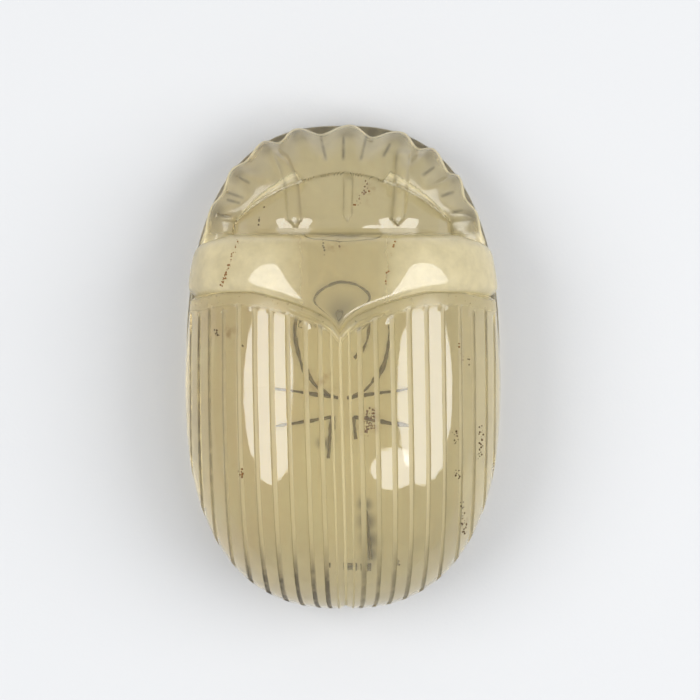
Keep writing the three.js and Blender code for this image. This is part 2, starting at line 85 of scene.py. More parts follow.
@dataclass(frozen=True)
class Outline:
    """The amulet's plan and the rise of its back, in millimetres, with +Y towards the head."""

    half_length: float = 26.975
    half_width: float = 17.495
    height: float = 18.995
    plate_thickness: float = 3.2
    plate_edge_round: float = 0.35
    plate_tail_setback: float = 0.35
    plate_head_setback: float = 0.3
    band_height: float = 3.2
    band_inset: float = 1.7
    back_lip: float = 0.35
    shoulder_inset: float = 0.25
    middle_shift_front: float = -0.35
    middle_shift_tail: float = 0.35
    head_power: float = 2.6
    tail_power: float = 2.46
    widest_at: float = -0.063
    highest_at: float = -0.075
    dome_power: float = 2.2
    dome_front_reach: float = 0.76
    head_at: float = 0.53
    thorax_rear_at: float = 0.293
    v_wide_drop: float = 0.107
    v_tip_drop: float = 0.059
    v_wide_reach: float = 0.54
    v_tip_reach: float = 0.063
    v_wide_power: float = 1.2
    corner_drop_share: float = 0.028
    corner_from: float = 0.72

    @property
    def rim_z(self) -> float:
        """Height of the back's rim."""
        return self.plate_thickness + self.band_height

    @property
    def lip_z(self) -> float:
        """Height of the underside of the back's rim."""
        return self.rim_z - self.back_lip

    @property
    def dome_height(self) -> float:
        """Rise of the back over its rim."""
        return self.height - self.rim_z

    @property
    def widest_y(self) -> float:
        """Where the plan is widest."""
        return self.widest_at * self.half_length

    @property
    def highest_y(self) -> float:
        """Where the back is highest."""
        return self.highest_at * self.half_length

    @property
    def head_y(self) -> float:
        """The line between head and thorax."""
        return self.head_at * self.half_length

    @property
    def thorax_rear_y(self) -> float:
        """The line between thorax and back at the sides."""
        return self.thorax_rear_at * self.half_length

    def oval_half_width(self, y: Array, half_width: Array, head: float, tail: float) -> Array:
        """Give half the width at y of an oval that ends at head and at -tail.

        Args:
            y: Places along the amulet.
            half_width: Half the width where the oval is widest.
            head: How far it reaches towards the head.
            tail: How far it reaches towards the tail.

        Returns:
            Half the width at each place, 0 beyond the ends.
        """
        ahead = y > self.widest_y
        power = np.where(ahead, self.head_power, self.tail_power)
        reach = np.where(ahead, head - self.widest_y, self.widest_y + tail)
        share = np.clip(np.abs(y - self.widest_y) / reach, 0.0, 1.0)
        return half_width * (1.0 - share**power) ** (1.0 / power)

    def plate_point(self, angle: Array, inset: Array, z: Array) -> Array:
        """Give points of the plate's outline, with angle 0 at the head end and a quarter turn at +X.

        Args:
            angle: Directions in radians.
            inset: How far the outline is set in.
            z: Height of each point.

        Returns:
            The points, one row each.
        """
        c, s = np.cos(angle), np.sin(angle)
        head = self.half_length - self.plate_head_setback - self.widest_y
        tail = self.half_length - self.plate_tail_setback + self.widest_y
        reach = np.where(c > 0, head, tail) - inset
        power = 2.0 / np.where(c > 0, self.head_power, self.tail_power)
        x = np.sign(s) * (self.half_width - inset) * np.abs(s) ** power
        y = self.widest_y + np.sign(c) * reach * np.abs(c) ** power
        return np.stack([x, y, z + 0.0 * x], axis=-1)

    def middle_shift(self, y: Array) -> Array:
        """Give how far the back's middle line stands off the middle at y."""
        share = (self.thorax_rear_y - y) / (2.0 * self.half_length) / 0.65
        return mix(self.middle_shift_front, self.middle_shift_tail, smooth(share))

    def corner_drop(self, x: Array) -> Array:
        """Give how far the thorax's edges bend towards the tail at x."""
        share = (np.abs(x) / self.half_width - self.corner_from) / (1.0 - self.corner_from)
        return self.corner_drop_share * self.half_length * smooth(share)

    def rear_edge_y(self, x: Array) -> Array:
        """Give the thorax's edge against the back: level at the sides, with a V at the middle.

        Args:
            x: Places across.

        Returns:
            Where the edge lies along the amulet.
        """
        s = np.abs(x - self.middle_shift_front) / self.half_width
        wide = self.v_wide_drop * np.clip(1.0 - s / self.v_wide_reach, 0.0, 1.0) ** self.v_wide_power
        tip = self.v_tip_drop * np.exp(-s / self.v_tip_reach)
        return self.thorax_rear_y - (wide + tip) * self.half_length - self.corner_drop(x)

    def back_half_width(self, y: Array) -> Array:
        """Give half the width of the back's rim at y.

        Args:
            y: Places along.

        Returns:
            Half the width at each place.
        """
        shoulder = self.shoulder_inset * smooth((y - self.widest_y) / (self.half_length / 4.0))
        head = self.half_length - self.plate_head_setback
        return self.oval_half_width(y, self.half_width - shoulder, head, self.half_length)

    def back_height(self, y: Array) -> Array:
        """Give the height of the back over its rim along the middle line.

        Args:
            y: Places along.

        Returns:
            The height at each place.
        """
        front = self.dome_front_reach * self.half_length
        reach = np.where(y > self.highest_y, front, self.half_length + self.highest_y)
        share = np.clip(np.abs(y - self.highest_y) / reach, 0.0, 1.0)
        return self.dome_height * (1.0 - share**self.dome_power) ** (1.0 / self.dome_power)

    def back_point(self, angle: Array, y: Array, inset: Array = 0.0, proud: Array = 0.0) -> Array:
        """Give points of the smooth back.

        Args:
            angle: From a quarter turn down at the -X rim to a quarter turn up at the +X rim.
            y: Places along the amulet.
            inset: How far the width is set in.
            proud: How far the point stands over the smooth back.

        Returns:
            The points, one row each.
        """
        x = (self.back_half_width(y) - inset + proud) * np.sin(angle)
        z = self.rim_z + (self.back_height(y) + proud) * np.cos(angle)
        return np.stack(np.broadcast_arrays(x, y, z), axis=-1)

    def back_normal(self, angle: Array, y: Array) -> Array:
        """Give the outward normals of the smooth back.

        Args:
            angle: Turns across the back.
            y: Places along.

        Returns:
            The normals, one row each.
        """
        step = 0.02
        y = np.clip(y, -self.half_length + 2 * step, None)
        across = self.back_point(angle + step, y) - self.back_point(angle - step, y)
        along = self.back_point(angle, y + step) - self.back_point(angle, y - step)
        normal = np.cross(across, along)
        return normal / np.linalg.norm(normal, axis=-1, keepdims=True)


class Meshes:
    """Makes closed meshes from rings of points in millimetres, and joins and cuts them."""

    @staticmethod
    def from_arrays(name: str, verts: Array, faces: Sequence[Sequence[int]]) -> bpy.types.Object:
        """Make an object from points in millimetres.

        Args:
            name: The object's name.
            verts: Points, one row each.
            faces: Corner numbers of each face.

        Returns:
            The object, linked to the scene.
        """
        mesh = bpy.data.meshes.new(name)
        mesh.from_pydata((np.asarray(verts) * MM).tolist(), [], faces)
        mesh.validate()
        obj = bpy.data.objects.new(name, mesh)
        bpy.context.scene.collection.objects.link(obj)
        return obj

    @classmethod
    def loft(cls, name: str, rings: Array, start: Array, end: Array) -> bpy.types.Object:
        """Close a stack of rings on a point at each end.

        Args:
            name: The object's name.
            rings: Points by ring, place round it, and coordinate.
            start: Where the first ring closes.
            end: Where the last ring closes.

        Returns:
            The closed object, with its faces turned outwards.
        """
        rows, around = rings.shape[:2]
        verts = np.concatenate([rings.reshape(-1, 3), [start], [end]])
        index = np.arange(rows * around).reshape(rows, around)
        ahead = np.roll(index, -1, axis=1)
        quads = np.stack([index[:-1], ahead[:-1], ahead[1:], index[1:]], axis=-1).reshape(-1, 4)
        first = [(rows * around, b, a) for a, b in zip(index[0].tolist(), ahead[0].tolist())]
        last = [(rows * around + 1, a, b) for a, b in zip(index[-1].tolist(), ahead[-1].tolist())]
        faces: list[Sequence[int]] = quads.tolist() + first + last
        if cls.volume(verts, quads, first + last) < 0:
            faces = [list(reversed(face)) for face in faces]
        return cls.from_arrays(name, verts, faces)

    @staticmethod
    def volume(verts: Array, quads: Array, triangles: Sequence[Sequence[int]]) -> float:
        """Give the signed volume that quads and triangles enclose.

        Args:
            verts: Points, one row each.
            quads: Corner numbers of the quads.
            triangles: Corner numbers of the triangles.

        Returns:
            Six times the volume, negative if inside out.
        """
        tris = np.concatenate([quads[:, [0, 1, 2]], quads[:, [0, 2, 3]], np.array(triangles)])
        a, b, c = verts[tris[:, 0]], verts[tris[:, 1]], verts[tris[:, 2]]
        return float(np.einsum("ij,ij->i", a, np.cross(b, c)).sum())

    @staticmethod
    def combine(obj: bpy.types.Object, others: Sequence[bpy.types.Object], operation: str) -> None:
        """Join other closed objects to obj, or cut them out of it, and delete them.

        Args:
            obj: The object to change.
            others: The objects to use up.
            operation: UNION or DIFFERENCE.
        """
        for other in others:
            modifier = obj.modifiers.new(operation.lower(), "BOOLEAN")
            modifier.operation = operation
            modifier.solver = "MANIFOLD"
            modifier.object = other
            graph = bpy.context.evaluated_depsgraph_get()
            made = bpy.data.meshes.new_from_object(obj.evaluated_get(graph), depsgraph=graph)
            obj.modifiers.clear()
            spent, obj.data = obj.data, made
            bpy.data.meshes.remove(spent)
            bpy.data.objects.remove(other)

    @staticmethod
    def shade(obj: bpy.types.Object, sharp_from: float) -> None:
        """Shade smooth, with edges sharp where faces turn by more than sharp_from degrees."""
        obj.data.shade_smooth()
        obj.data.set_sharp_from_angle(angle=math.radians(sharp_from))

    @staticmethod
    def dress(obj: bpy.types.Object, material: bpy.types.Material) -> None:
        """Give the whole object one material."""
        obj.data.materials.clear()
        obj.data.materials.append(material)

    @staticmethod
    def points(obj: bpy.types.Object) -> Array:
        """Give the object's vertices in millimetres.

        Args:
            obj: The object.

        Returns:
            The points, one row each.
        """
        flat = np.empty(len(obj.data.vertices) * 3)
        obj.data.vertices.foreach_get("co", flat)
        return flat.reshape(-1, 3) / MM

    @staticmethod
    def paint(obj: bpy.types.Object, name: str, values: Array) -> None:
        """Store one number for each vertex as an attribute."""
        attribute = obj.data.attributes.new(name, "FLOAT", "POINT")
        attribute.data.foreach_set("value", np.asarray(values, dtype=np.float32))

    @staticmethod
    def triangles(obj: bpy.types.Object) -> int:
        """Count the triangles that the mesh is drawn with."""
        obj.data.calc_loop_triangles()
        return len(obj.data.loop_triangles)


@dataclass(frozen=True)
class Bar:
    """A gabled bar along a path, to be added as a ridge or cut out as a groove, in millimetres."""

    width: float
    height: float
    sink: float

    def build(
        self, name: str, path: Array, normals: Array, widen: Array | None = None
    ) -> bpy.types.Object:
        """Make the bar.

        Args:
            name: The object's name.
            path: Points of the path on the surface, one row each.
            normals: The surface's outward normals there.
            widen: How much wider or narrower the bar is at each point, if not even.

        Returns:
            The closed bar.
        """
        base = -math.copysign(self.sink, self.height)
        half = self.width / 2.0
        section = [(0.0, self.height), (half, 0.0), (half, base), (-half, base), (-half, 0.0)]
        side = np.cross(np.gradient(path, axis=0), normals)
        side /= np.linalg.norm(side, axis=-1, keepdims=True)
        if widen is not None:
            side = side * widen[:, None]
        corners = [path + side * across + normals * up for across, up in section]
        rings = np.stack(corners, axis=1)
        return Meshes.loft(name, rings, path[0] + normals[0] * base, path[-1] + normals[-1] * base)


@dataclass(frozen=True)
class Pedestal:
    """The oval plate, the set-in band over it, and the legs in relief on the band."""

    plan: Outline
    sides: int = 200
    round_steps: int = 5
    band_flare: float = 0.35
    leg_width: float = 1.9
    leg_proud: float = 0.95
    leg_steps: int = 36
    leg_sides: int = 20
    legs: tuple[tuple[float, float, float], ...] = ((72, 56, 30), (88, 98, 116), (108, 126, 154))

    def wall(self, name: str, profile: Sequence[tuple[float, float]]) -> bpy.types.Object:
        """Loft the plan's outline through insets and heights, from the bottom up.

        Args:
            name: The object's name.
            profile: Inset and height of each ring.

        Returns:
            The closed body.
        """
        angles = np.arange(self.sides) * 2.0 * math.pi / self.sides
        rings = np.stack([self.plan.plate_point(angles, inset, z) for inset, z in profile])
        middle = np.array([0.0, self.plan.widest_y, 0.0])
        low = middle + [0.0, 0.0, profile[0][1]]
        high = middle + [0.0, 0.0, profile[-1][1]]
        return Meshes.loft(name, rings, low, high)

    def plate(self) -> bpy.types.Object:
        """Make the plate with its rounded edges.

        Returns:
            The closed plate.
        """
        r = self.plan.plate_edge_round
        top = self.plan.plate_thickness
        turns = np.linspace(0.0, math.pi / 2.0, self.round_steps)
        low = [(r - r * math.sin(t), r - r * math.cos(t)) for t in turns]
        high = [(r - r * math.cos(t), top - r + r * math.sin(t)) for t in turns]
        return self.wall("plate", low + high)

    def band(self, reach_into_back: float) -> bpy.types.Object:
        """Make the band from inside the plate to inside the back.

        Args:
            reach_into_back: How far it goes on above the back's rim.

        Returns:
            The closed band.
        """
        plan = self.plan
        inset = plan.band_inset
        low, high = plan.plate_thickness / 2.0, plan.rim_z + reach_into_back
        flare = self.band_flare
        foot = plan.plate_thickness + flare
        return self.wall("band", [(inset, low), (inset - flare, low + 0.1), (inset, foot), (inset, high)])

    def leg(self, side: int, places: tuple[float, float, float]) -> bpy.types.Object:
        """Make one leg: the thigh comes down from the back and the shin runs along the plate.

        Args:
            side: 1 for +X or -1 for -X.
            places: Angles of thigh, knee and foot round the plan, in degrees.

        Returns:
            The closed leg.
        """
        plan = self.plan
        thigh, knee, foot = places
        top = plan.rim_z + 0.1 * plan.band_height
        low = plan.plate_thickness + 0.3 * plan.band_height
        knots = np.array([0.0, 0.25, 0.5, 0.75, 1.0])
        t = np.linspace(0.0, 1.0, self.leg_steps)
        angle = np.interp(t, knots, [thigh, (thigh + knee) / 2, knee, (knee + foot) / 2, foot])
        height = np.interp(t, knots, [top, mix(top, low, 0.45), low, low, low])
        ease = np.ones(7) / 7.0
        height = np.convolve(np.pad(height, 3, mode="edge"), ease, mode="valid")
        inset = plan.band_inset - self.leg_proud + self.leg_width / 2.0
        path = plan.plate_point(side * np.radians(angle), inset, height)
        along = np.gradient(path, axis=0)
        along /= np.linalg.norm(along, axis=-1, keepdims=True)
        out = np.cross(along, [0.0, 0.0, 1.0])
        out /= np.linalg.norm(out, axis=-1, keepdims=True)
        up = np.cross(out, along)
        radius = self.leg_width / 2.0 * np.minimum(1.0, 0.55 + 6.0 * np.minimum(t + 0.2, 1.0 - t))
        turn = np.arange(self.leg_sides) * 2.0 * math.pi / self.leg_sides
        rings = (
            path[:, None]
            + radius[:, None, None] * np.cos(turn)[None, :, None] * out[:, None]
            + radius[:, None, None] * np.sin(turn)[None, :, None] * up[:, None]
        )
        return Meshes.loft("leg", rings, path[0], path[-1])

    def build(self, reach_into_back: float) -> list[bpy.types.Object]:
        """Make the plate, the band and the six legs."""
        legs = [self.leg(side, places) for side in (-1, 1) for places in self.legs]
        return [self.plate(), self.band(reach_into_back), *legs]


@dataclass(frozen=True)
class RibbedBack:
    """The domed back with its ribs, the middle line and the borders beside it, in millimetres."""

    plan: Outline
    groove_width: float = 0.54
    groove_depth: float = 0.2
    suture_width: float = 0.34
    suture_depth: float = 0.16
    border_width: float = 0.28
    border_depth: float = 0.12
    wall_share: float = 0.3
    lip_share: float = 0.14
    border_offset: float = 0.85
    border_reach: float = 5.6
    rib_margin: float = 1.2
    tail_notch_width: float = 1.5
    tail_notch_depth: float = 0.5
    convergence: float = 0.15
    first_angle: float = 7.0
    angle_step: float = 5.6
    angle_growth: float = 0.2
    per_wing: int = 10
    border_angle: float = 3.2
    margin_rows: int = 20
    tail_rows: int = 120
    level_rows: float = 0.25
    rib_pitch: float = 1.7
    overlap: float = 1.0
    uneven_cut: float = 0.12
    stray_angle: float = 0.3
    tuck_under: float = 0.55
    seed: int = 4

    def lines(self) -> list[tuple[float, float, float]]:
        """Give angle, width and depth of every cut line, from the -X rim to the +X rim.

        Returns:
            The lines, in order.
        """
        rng = np.random.default_rng(self.seed)
        found = [(0.0, self.suture_width, self.suture_depth)]
        for side in (-1, 1):
            found.append((side * self.border_angle, self.border_width, self.border_depth))
            for k in range(self.per_wing):
                angle = self.first_angle + self.angle_step * k + self.angle_growth * k * k
                stray, wide, deep = rng.uniform(-1.0, 1.0, 3)
                width = self.groove_width * (1.0 + self.uneven_cut * wide)
                depth = self.groove_depth * (1.0 + self.uneven_cut * deep)
                found.append((side * (angle + self.stray_angle * stray), width, depth))
        return sorted(found)

    def half_angle(self, angle: float, width: float) -> float:
        """Give half a line's width as an angle round the back, in degrees.

        Args:
            angle: Where the line is, in degrees.
            width: Its width.

        Returns:
            Half its width in degrees.
        """
        a = math.radians(angle)
        plan = self.plan
        radius = math.hypot(plan.half_width * math.cos(a), plan.dome_height * math.sin(a))
        return math.degrees(width / 2.0 / radius)

    def columns(self) -> Array:
        """Give the angles of the surface's columns: close together in each line, wider on the ribs.

        Returns:
            The angles in degrees, from the -X rim to the +X rim.
        """
        lip = 1.0 + self.lip_share
        floor = lip - self.wall_share
        half = np.array([0.45 * floor, floor, (floor + lip) / 2.0, 1.0 + self.lip_share / 2.0, lip])
        shares = np.concatenate([-half[::-1], [0.0], half])
        angles: list[float] = []
        previous = -90.0
        for angle, width, _ in self.lines():
            cut = angle + shares * self.half_angle(angle, width)
            count = max(1, round((cut[0] - previous) / self.rib_pitch))
            angles += np.linspace(previous, cut[0], count + 1)[:-1].tolist()
            angles += cut[:-1].tolist()
            previous = float(cut[-1])
        count = max(1, round((90.0 - previous) / self.rib_pitch))
        return np.array(angles + np.linspace(previous, 90.0, count + 1).tolist())

    def spread(self, y: Array) -> Array:
        """Give the width over which the lines fan out at y."""
        plan = self.plan
        return plan.half_width * (plan.back_half_width(y) / plan.half_width) ** self.convergence

    def angle_at(self, x: Array, y: Array) -> Array:
        """Give which line's angle, in degrees, passes through each place; beyond 90 is none.

        Args:
            x: Places across.
            y: Places along.

        Returns:
            The angle at each place.
        """
        spread = np.maximum(self.spread(y), 1e-6)
        shift = self.plan.middle_shift(y)
        angle = np.arcsin(np.clip(x / spread, -1.0, 1.0))
        for _ in range(4):
            angle = np.arcsin(np.clip((x - shift * np.cos(angle) ** 2) / spread, -1.0, 1.0))
        return np.where(np.abs(x) > spread, 999.0, np.degrees(angle))

    def cut(self, x: Array, y: Array) -> Array:
        """Give how deep the lines are cut at each place.

        Args:
            x: Places across.
            y: Places along.

        Returns:
            The depth in millimetres, 0 on the ribs.
        """
        plan = self.plan
        angle = self.angle_at(x, y)
        behind = plan.rear_edge_y(x) - y
        depth = np.zeros(np.broadcast(x, y).shape)
        for k, (middle, width, deep) in enumerate(self.lines()):
            t = np.abs(angle - middle) / self.half_angle(middle, width)
            plain = abs(middle) < self.first_angle - 1.0
            begin = 0.3 if plain else self.rib_margin + 0.25 * math.sin(2.6 * k)
            fade = smooth((behind - begin) / 0.7)
            depth = np.maximum(depth, deep * self.section(t) * fade)
        lean = np.abs(plan.rear_edge_y(x + 0.02) - plan.rear_edge_y(x - 0.02)) / 0.04
        off = (behind - self.border_offset) / np.sqrt(1.0 + lean * lean)
        t = np.abs(off) / (self.border_width / 2.0)
        off_middle = np.abs(x - plan.middle_shift_front)
        within = smooth((self.border_reach - off_middle) / 0.8) * smooth((off_middle - 0.4) / 0.4)
        return np.maximum(depth, self.border_depth * self.section(t) * within)

    def section(self, t: Array) -> Array:
        """Give a cut's depth, as a share, from its middle at t 0 to its edge at t 1."""
        round_floor = 0.85 + 0.15 * np.clip(1.0 - t * t, 0.0, 1.0)
        return smooth((1.0 + self.lip_share - t) / self.wall_share) * round_floor

    def row_y(self, edge: Array) -> Array:
        """Give the places of every row for each column, from under the thorax to the tail.

        Args:
            edge: The thorax's edge at each column.

        Returns:
            Places by row and column.
        """
        plan = self.plan
        margin = np.linspace(0.0, self.rib_margin + 0.4, self.margin_rows)
        near = edge[None] - margin[:, None]
        share = np.arange(1, self.tail_rows)[:, None] / self.tail_rows
        level = mix(edge[None], plan.thorax_rear_y, smooth(share / self.level_rows)) - margin[-1]
        far = mix(level, -plan.half_length, np.sin(share * math.pi / 2.0))
        return np.concatenate([edge[None] + self.overlap, near, far])

    def spaced(self, x: Array, rim: float) -> Array:
        """Spread the columns that run off the rim over the sliver inside it, so that none meet.

        Args:
            x: Where the columns of one row lie.
            rim: Half the back's width there.

        Returns:
            The places, in the same order and all inside the rim.
        """
        inner = np.flatnonzero(np.abs(x) < 0.985 * rim)
        if len(inner) == 0:
            return np.linspace(-rim, rim, len(x))
        placed = x.copy()
        first, last = inner[0], inner[-1]
        placed[: first + 1] = np.linspace(-rim, x[first], first + 1)
        placed[last:] = np.linspace(x[last], rim, len(x) - last)
        return placed

    def build(self) -> bpy.types.Object:
        """Make the ribbed back with the notch in its tail.

        Returns:
            The closed back.
        """
        plan = self.plan
        columns = self.columns()
        sines = np.sin(np.radians(columns))
        start = plan.half_width * sines + plan.middle_shift_front * np.cos(np.radians(columns)) ** 2
        y = self.row_y(plan.rear_edge_y(start))
        fan = self.spread(y) * sines + plan.middle_shift(y) * np.cos(np.radians(columns)) ** 2
        rims = plan.back_half_width(y)
        x = np.stack([self.spaced(fan[row], float(rims[row].min())) for row in range(len(y))])
        ratio = np.clip(x / rims, -1.0, 1.0)
        angle = np.arcsin(ratio)
        angle[:, 0], angle[:, -1] = -math.pi / 2.0, math.pi / 2.0
        tucked = np.zeros_like(y)
        tucked[0] = self.tuck_under
        top = plan.back_point(angle, y, tucked, -tucked)
        depth = self.cut(top[..., 0], top[..., 1]) * (tucked == 0)
        rim_fade = np.clip((math.pi / 2.0 - np.abs(angle)) / 0.01, 0.0, 1.0)
        top = top - plan.back_normal(angle, y) * (depth * rim_fade)[..., None]
        across = np.array([0.6, 0.0, -0.6])
        under_y = y[:, [0]] + 0.0 * across
        under_x = across * plan.back_half_width(under_y)
        under = np.stack([under_x, under_y, np.full_like(under_x, plan.lip_z)], axis=-1)
        edge_up = top[:, -1:].copy()
        edge_down = top[:, :1].copy()
        edge_up[..., 2] = edge_down[..., 2] = plan.lip_z
        rings = np.concatenate([top, edge_up, under, edge_down], axis=1)
        front = np.array([0.0, float(y[0, len(columns) // 2]), plan.rim_z + plan.dome_height / 2.0])
        back = Meshes.loft("back", rings, front, np.array([0.0, -plan.half_length, plan.rim_z - 0.1]))
        Meshes.combine(back, [self.notch()], "DIFFERENCE")
        return back

    def notch(self) -> bpy.types.Object:
        """Make the bar that cuts the notch between the two tips of the tail.

        Returns:
            The closed bar.
        """
        plan = self.plan
        heights = np.array([plan.lip_z - self.overlap, plan.rim_z + plan.dome_height / 3.0])
        level = 0.0 * heights
        path = np.stack([plan.middle_shift_tail + level, level - plan.half_length, heights], axis=-1)
        normals = np.tile([0.0, -1.0, 0.0], (2, 1))
        return Bar(self.tail_notch_width, -self.tail_notch_depth, self.overlap).build("notch", path, normals)


@dataclass(frozen=True)
class Thorax:
    """The plain, gently rolled band between the head and the V edge, in millimetres."""

    plan: Outline
    bulge: float = 0.42
    level_at: float = 6.5
    level_at_sides: float = 9.2
    roll_radius: float = 18.0
    roll_radius_sides: float = 8.5
    sides_from: float = 2.5
    sides_over: float = 4.5
    front_drop: float = 0.8
    edge_drop: float = 0.55
    edge_power: float = 9.0
    corner: float = 0.55
    corner_power: float = 6.0
    columns: int = 160
    rows: int = 64

    def build(self) -> bpy.types.Object:
        """Make the closed thorax.

        Returns:
            The closed thorax, reaching into head and back.
        """
        plan = self.plan
        angle = np.linspace(-math.pi / 2.0, math.pi / 2.0, self.columns)[None]
        t = ((1.0 - np.cos(np.linspace(0.0, math.pi, self.rows))) / 2.0)[:, None]
        x = plan.back_half_width(np.array(plan.head_y)) * np.sin(angle)
        y = mix(plan.head_y - plan.corner_drop(x), plan.rear_edge_y(x), t)
        off_middle = np.abs(2.0 * t - 1.0)
        corner = off_middle**self.corner_power
        wide = plan.back_half_width(y) + mix(self.bulge, -self.edge_drop, corner)
        wide = wide - self.corner * corner * np.abs(np.sin(angle))
        aside = smooth((np.abs(x) - self.sides_from) / self.sides_over)
        level = mix(self.level_at, self.level_at_sides, aside)
        bend = mix(1.0 / self.roll_radius, 1.0 / self.roll_radius_sides, aside)
        high = plan.dome_height - (y - level) ** 2 * bend / 2.0
        high = high - self.edge_drop * off_middle**self.edge_power
        high = high - self.front_drop * (1.0 - t) ** self.edge_power
        top = np.stack([wide * np.sin(angle), y, plan.rim_z + high * np.cos(angle)], axis=-1)
        lower = top[:, [-1, 0]].copy()
        lower[..., 2] = plan.lip_z
        rings = np.concatenate([top, lower], axis=1)
        middle = plan.rim_z + float(plan.back_height(np.array(plan.head_y))) / 2.0
        front = np.array([0.0, plan.head_y, middle])
        rear = np.array([0.0, float(plan.rear_edge_y(np.array(0.0))), middle])
        return Meshes.loft("thorax", rings, front, rear)


@dataclass(frozen=True)
class Hatch:
    """A short radial cut in the head's rim, in degrees and millimetres."""

    angle: float
    middle: float
    length: float
    width: float = 0.36
    depth: float = 0.26

    def depth_at(self, angle: Array, r: Array) -> Array:
        """Give how deep the cut is at each direction and distance from the head's centre.

        Args:
            angle: Directions in radians.
            r: Distances from the head's centre.

        Returns:
            The depth at each place.
        """
        off = (angle - math.radians(self.angle)) * r / (self.width / 2.0)
        along = (r - self.middle) / (self.length / 2.0)
        return self.depth * np.exp(-off * off) * smooth((1.2 - np.abs(along)) / 0.4)


@dataclass(frozen=True)
class HeadRidge:
    """A raised rib over the head, from the rim back to a pointed end, in millimetres."""

    path: tuple[tuple[float, float], ...]
    width: float
    height: float
    point_length: float = 0.9

    def height_at(self, x: Array, y: Array) -> Array:
        """Give how far the rib stands over the head at each place.

        Args:
            x: Places across.
            y: Places along.

        Returns:
            The height at each place.
        """
        ys, xs = zip(*self.path)
        middle = np.interp(y, ys, xs)
        begin, end = ys[0], ys[-1]
        half = self.width / 2.0 * np.clip((y - begin) / self.point_length, 0.02, 1.0)
        off = np.clip(np.abs(x - middle) / half, 0.0, 1.0)
        fade = smooth((end - y) / 1.2) * smooth((y - begin) / 0.15)
        return self.height * (1.0 - off**4) * fade


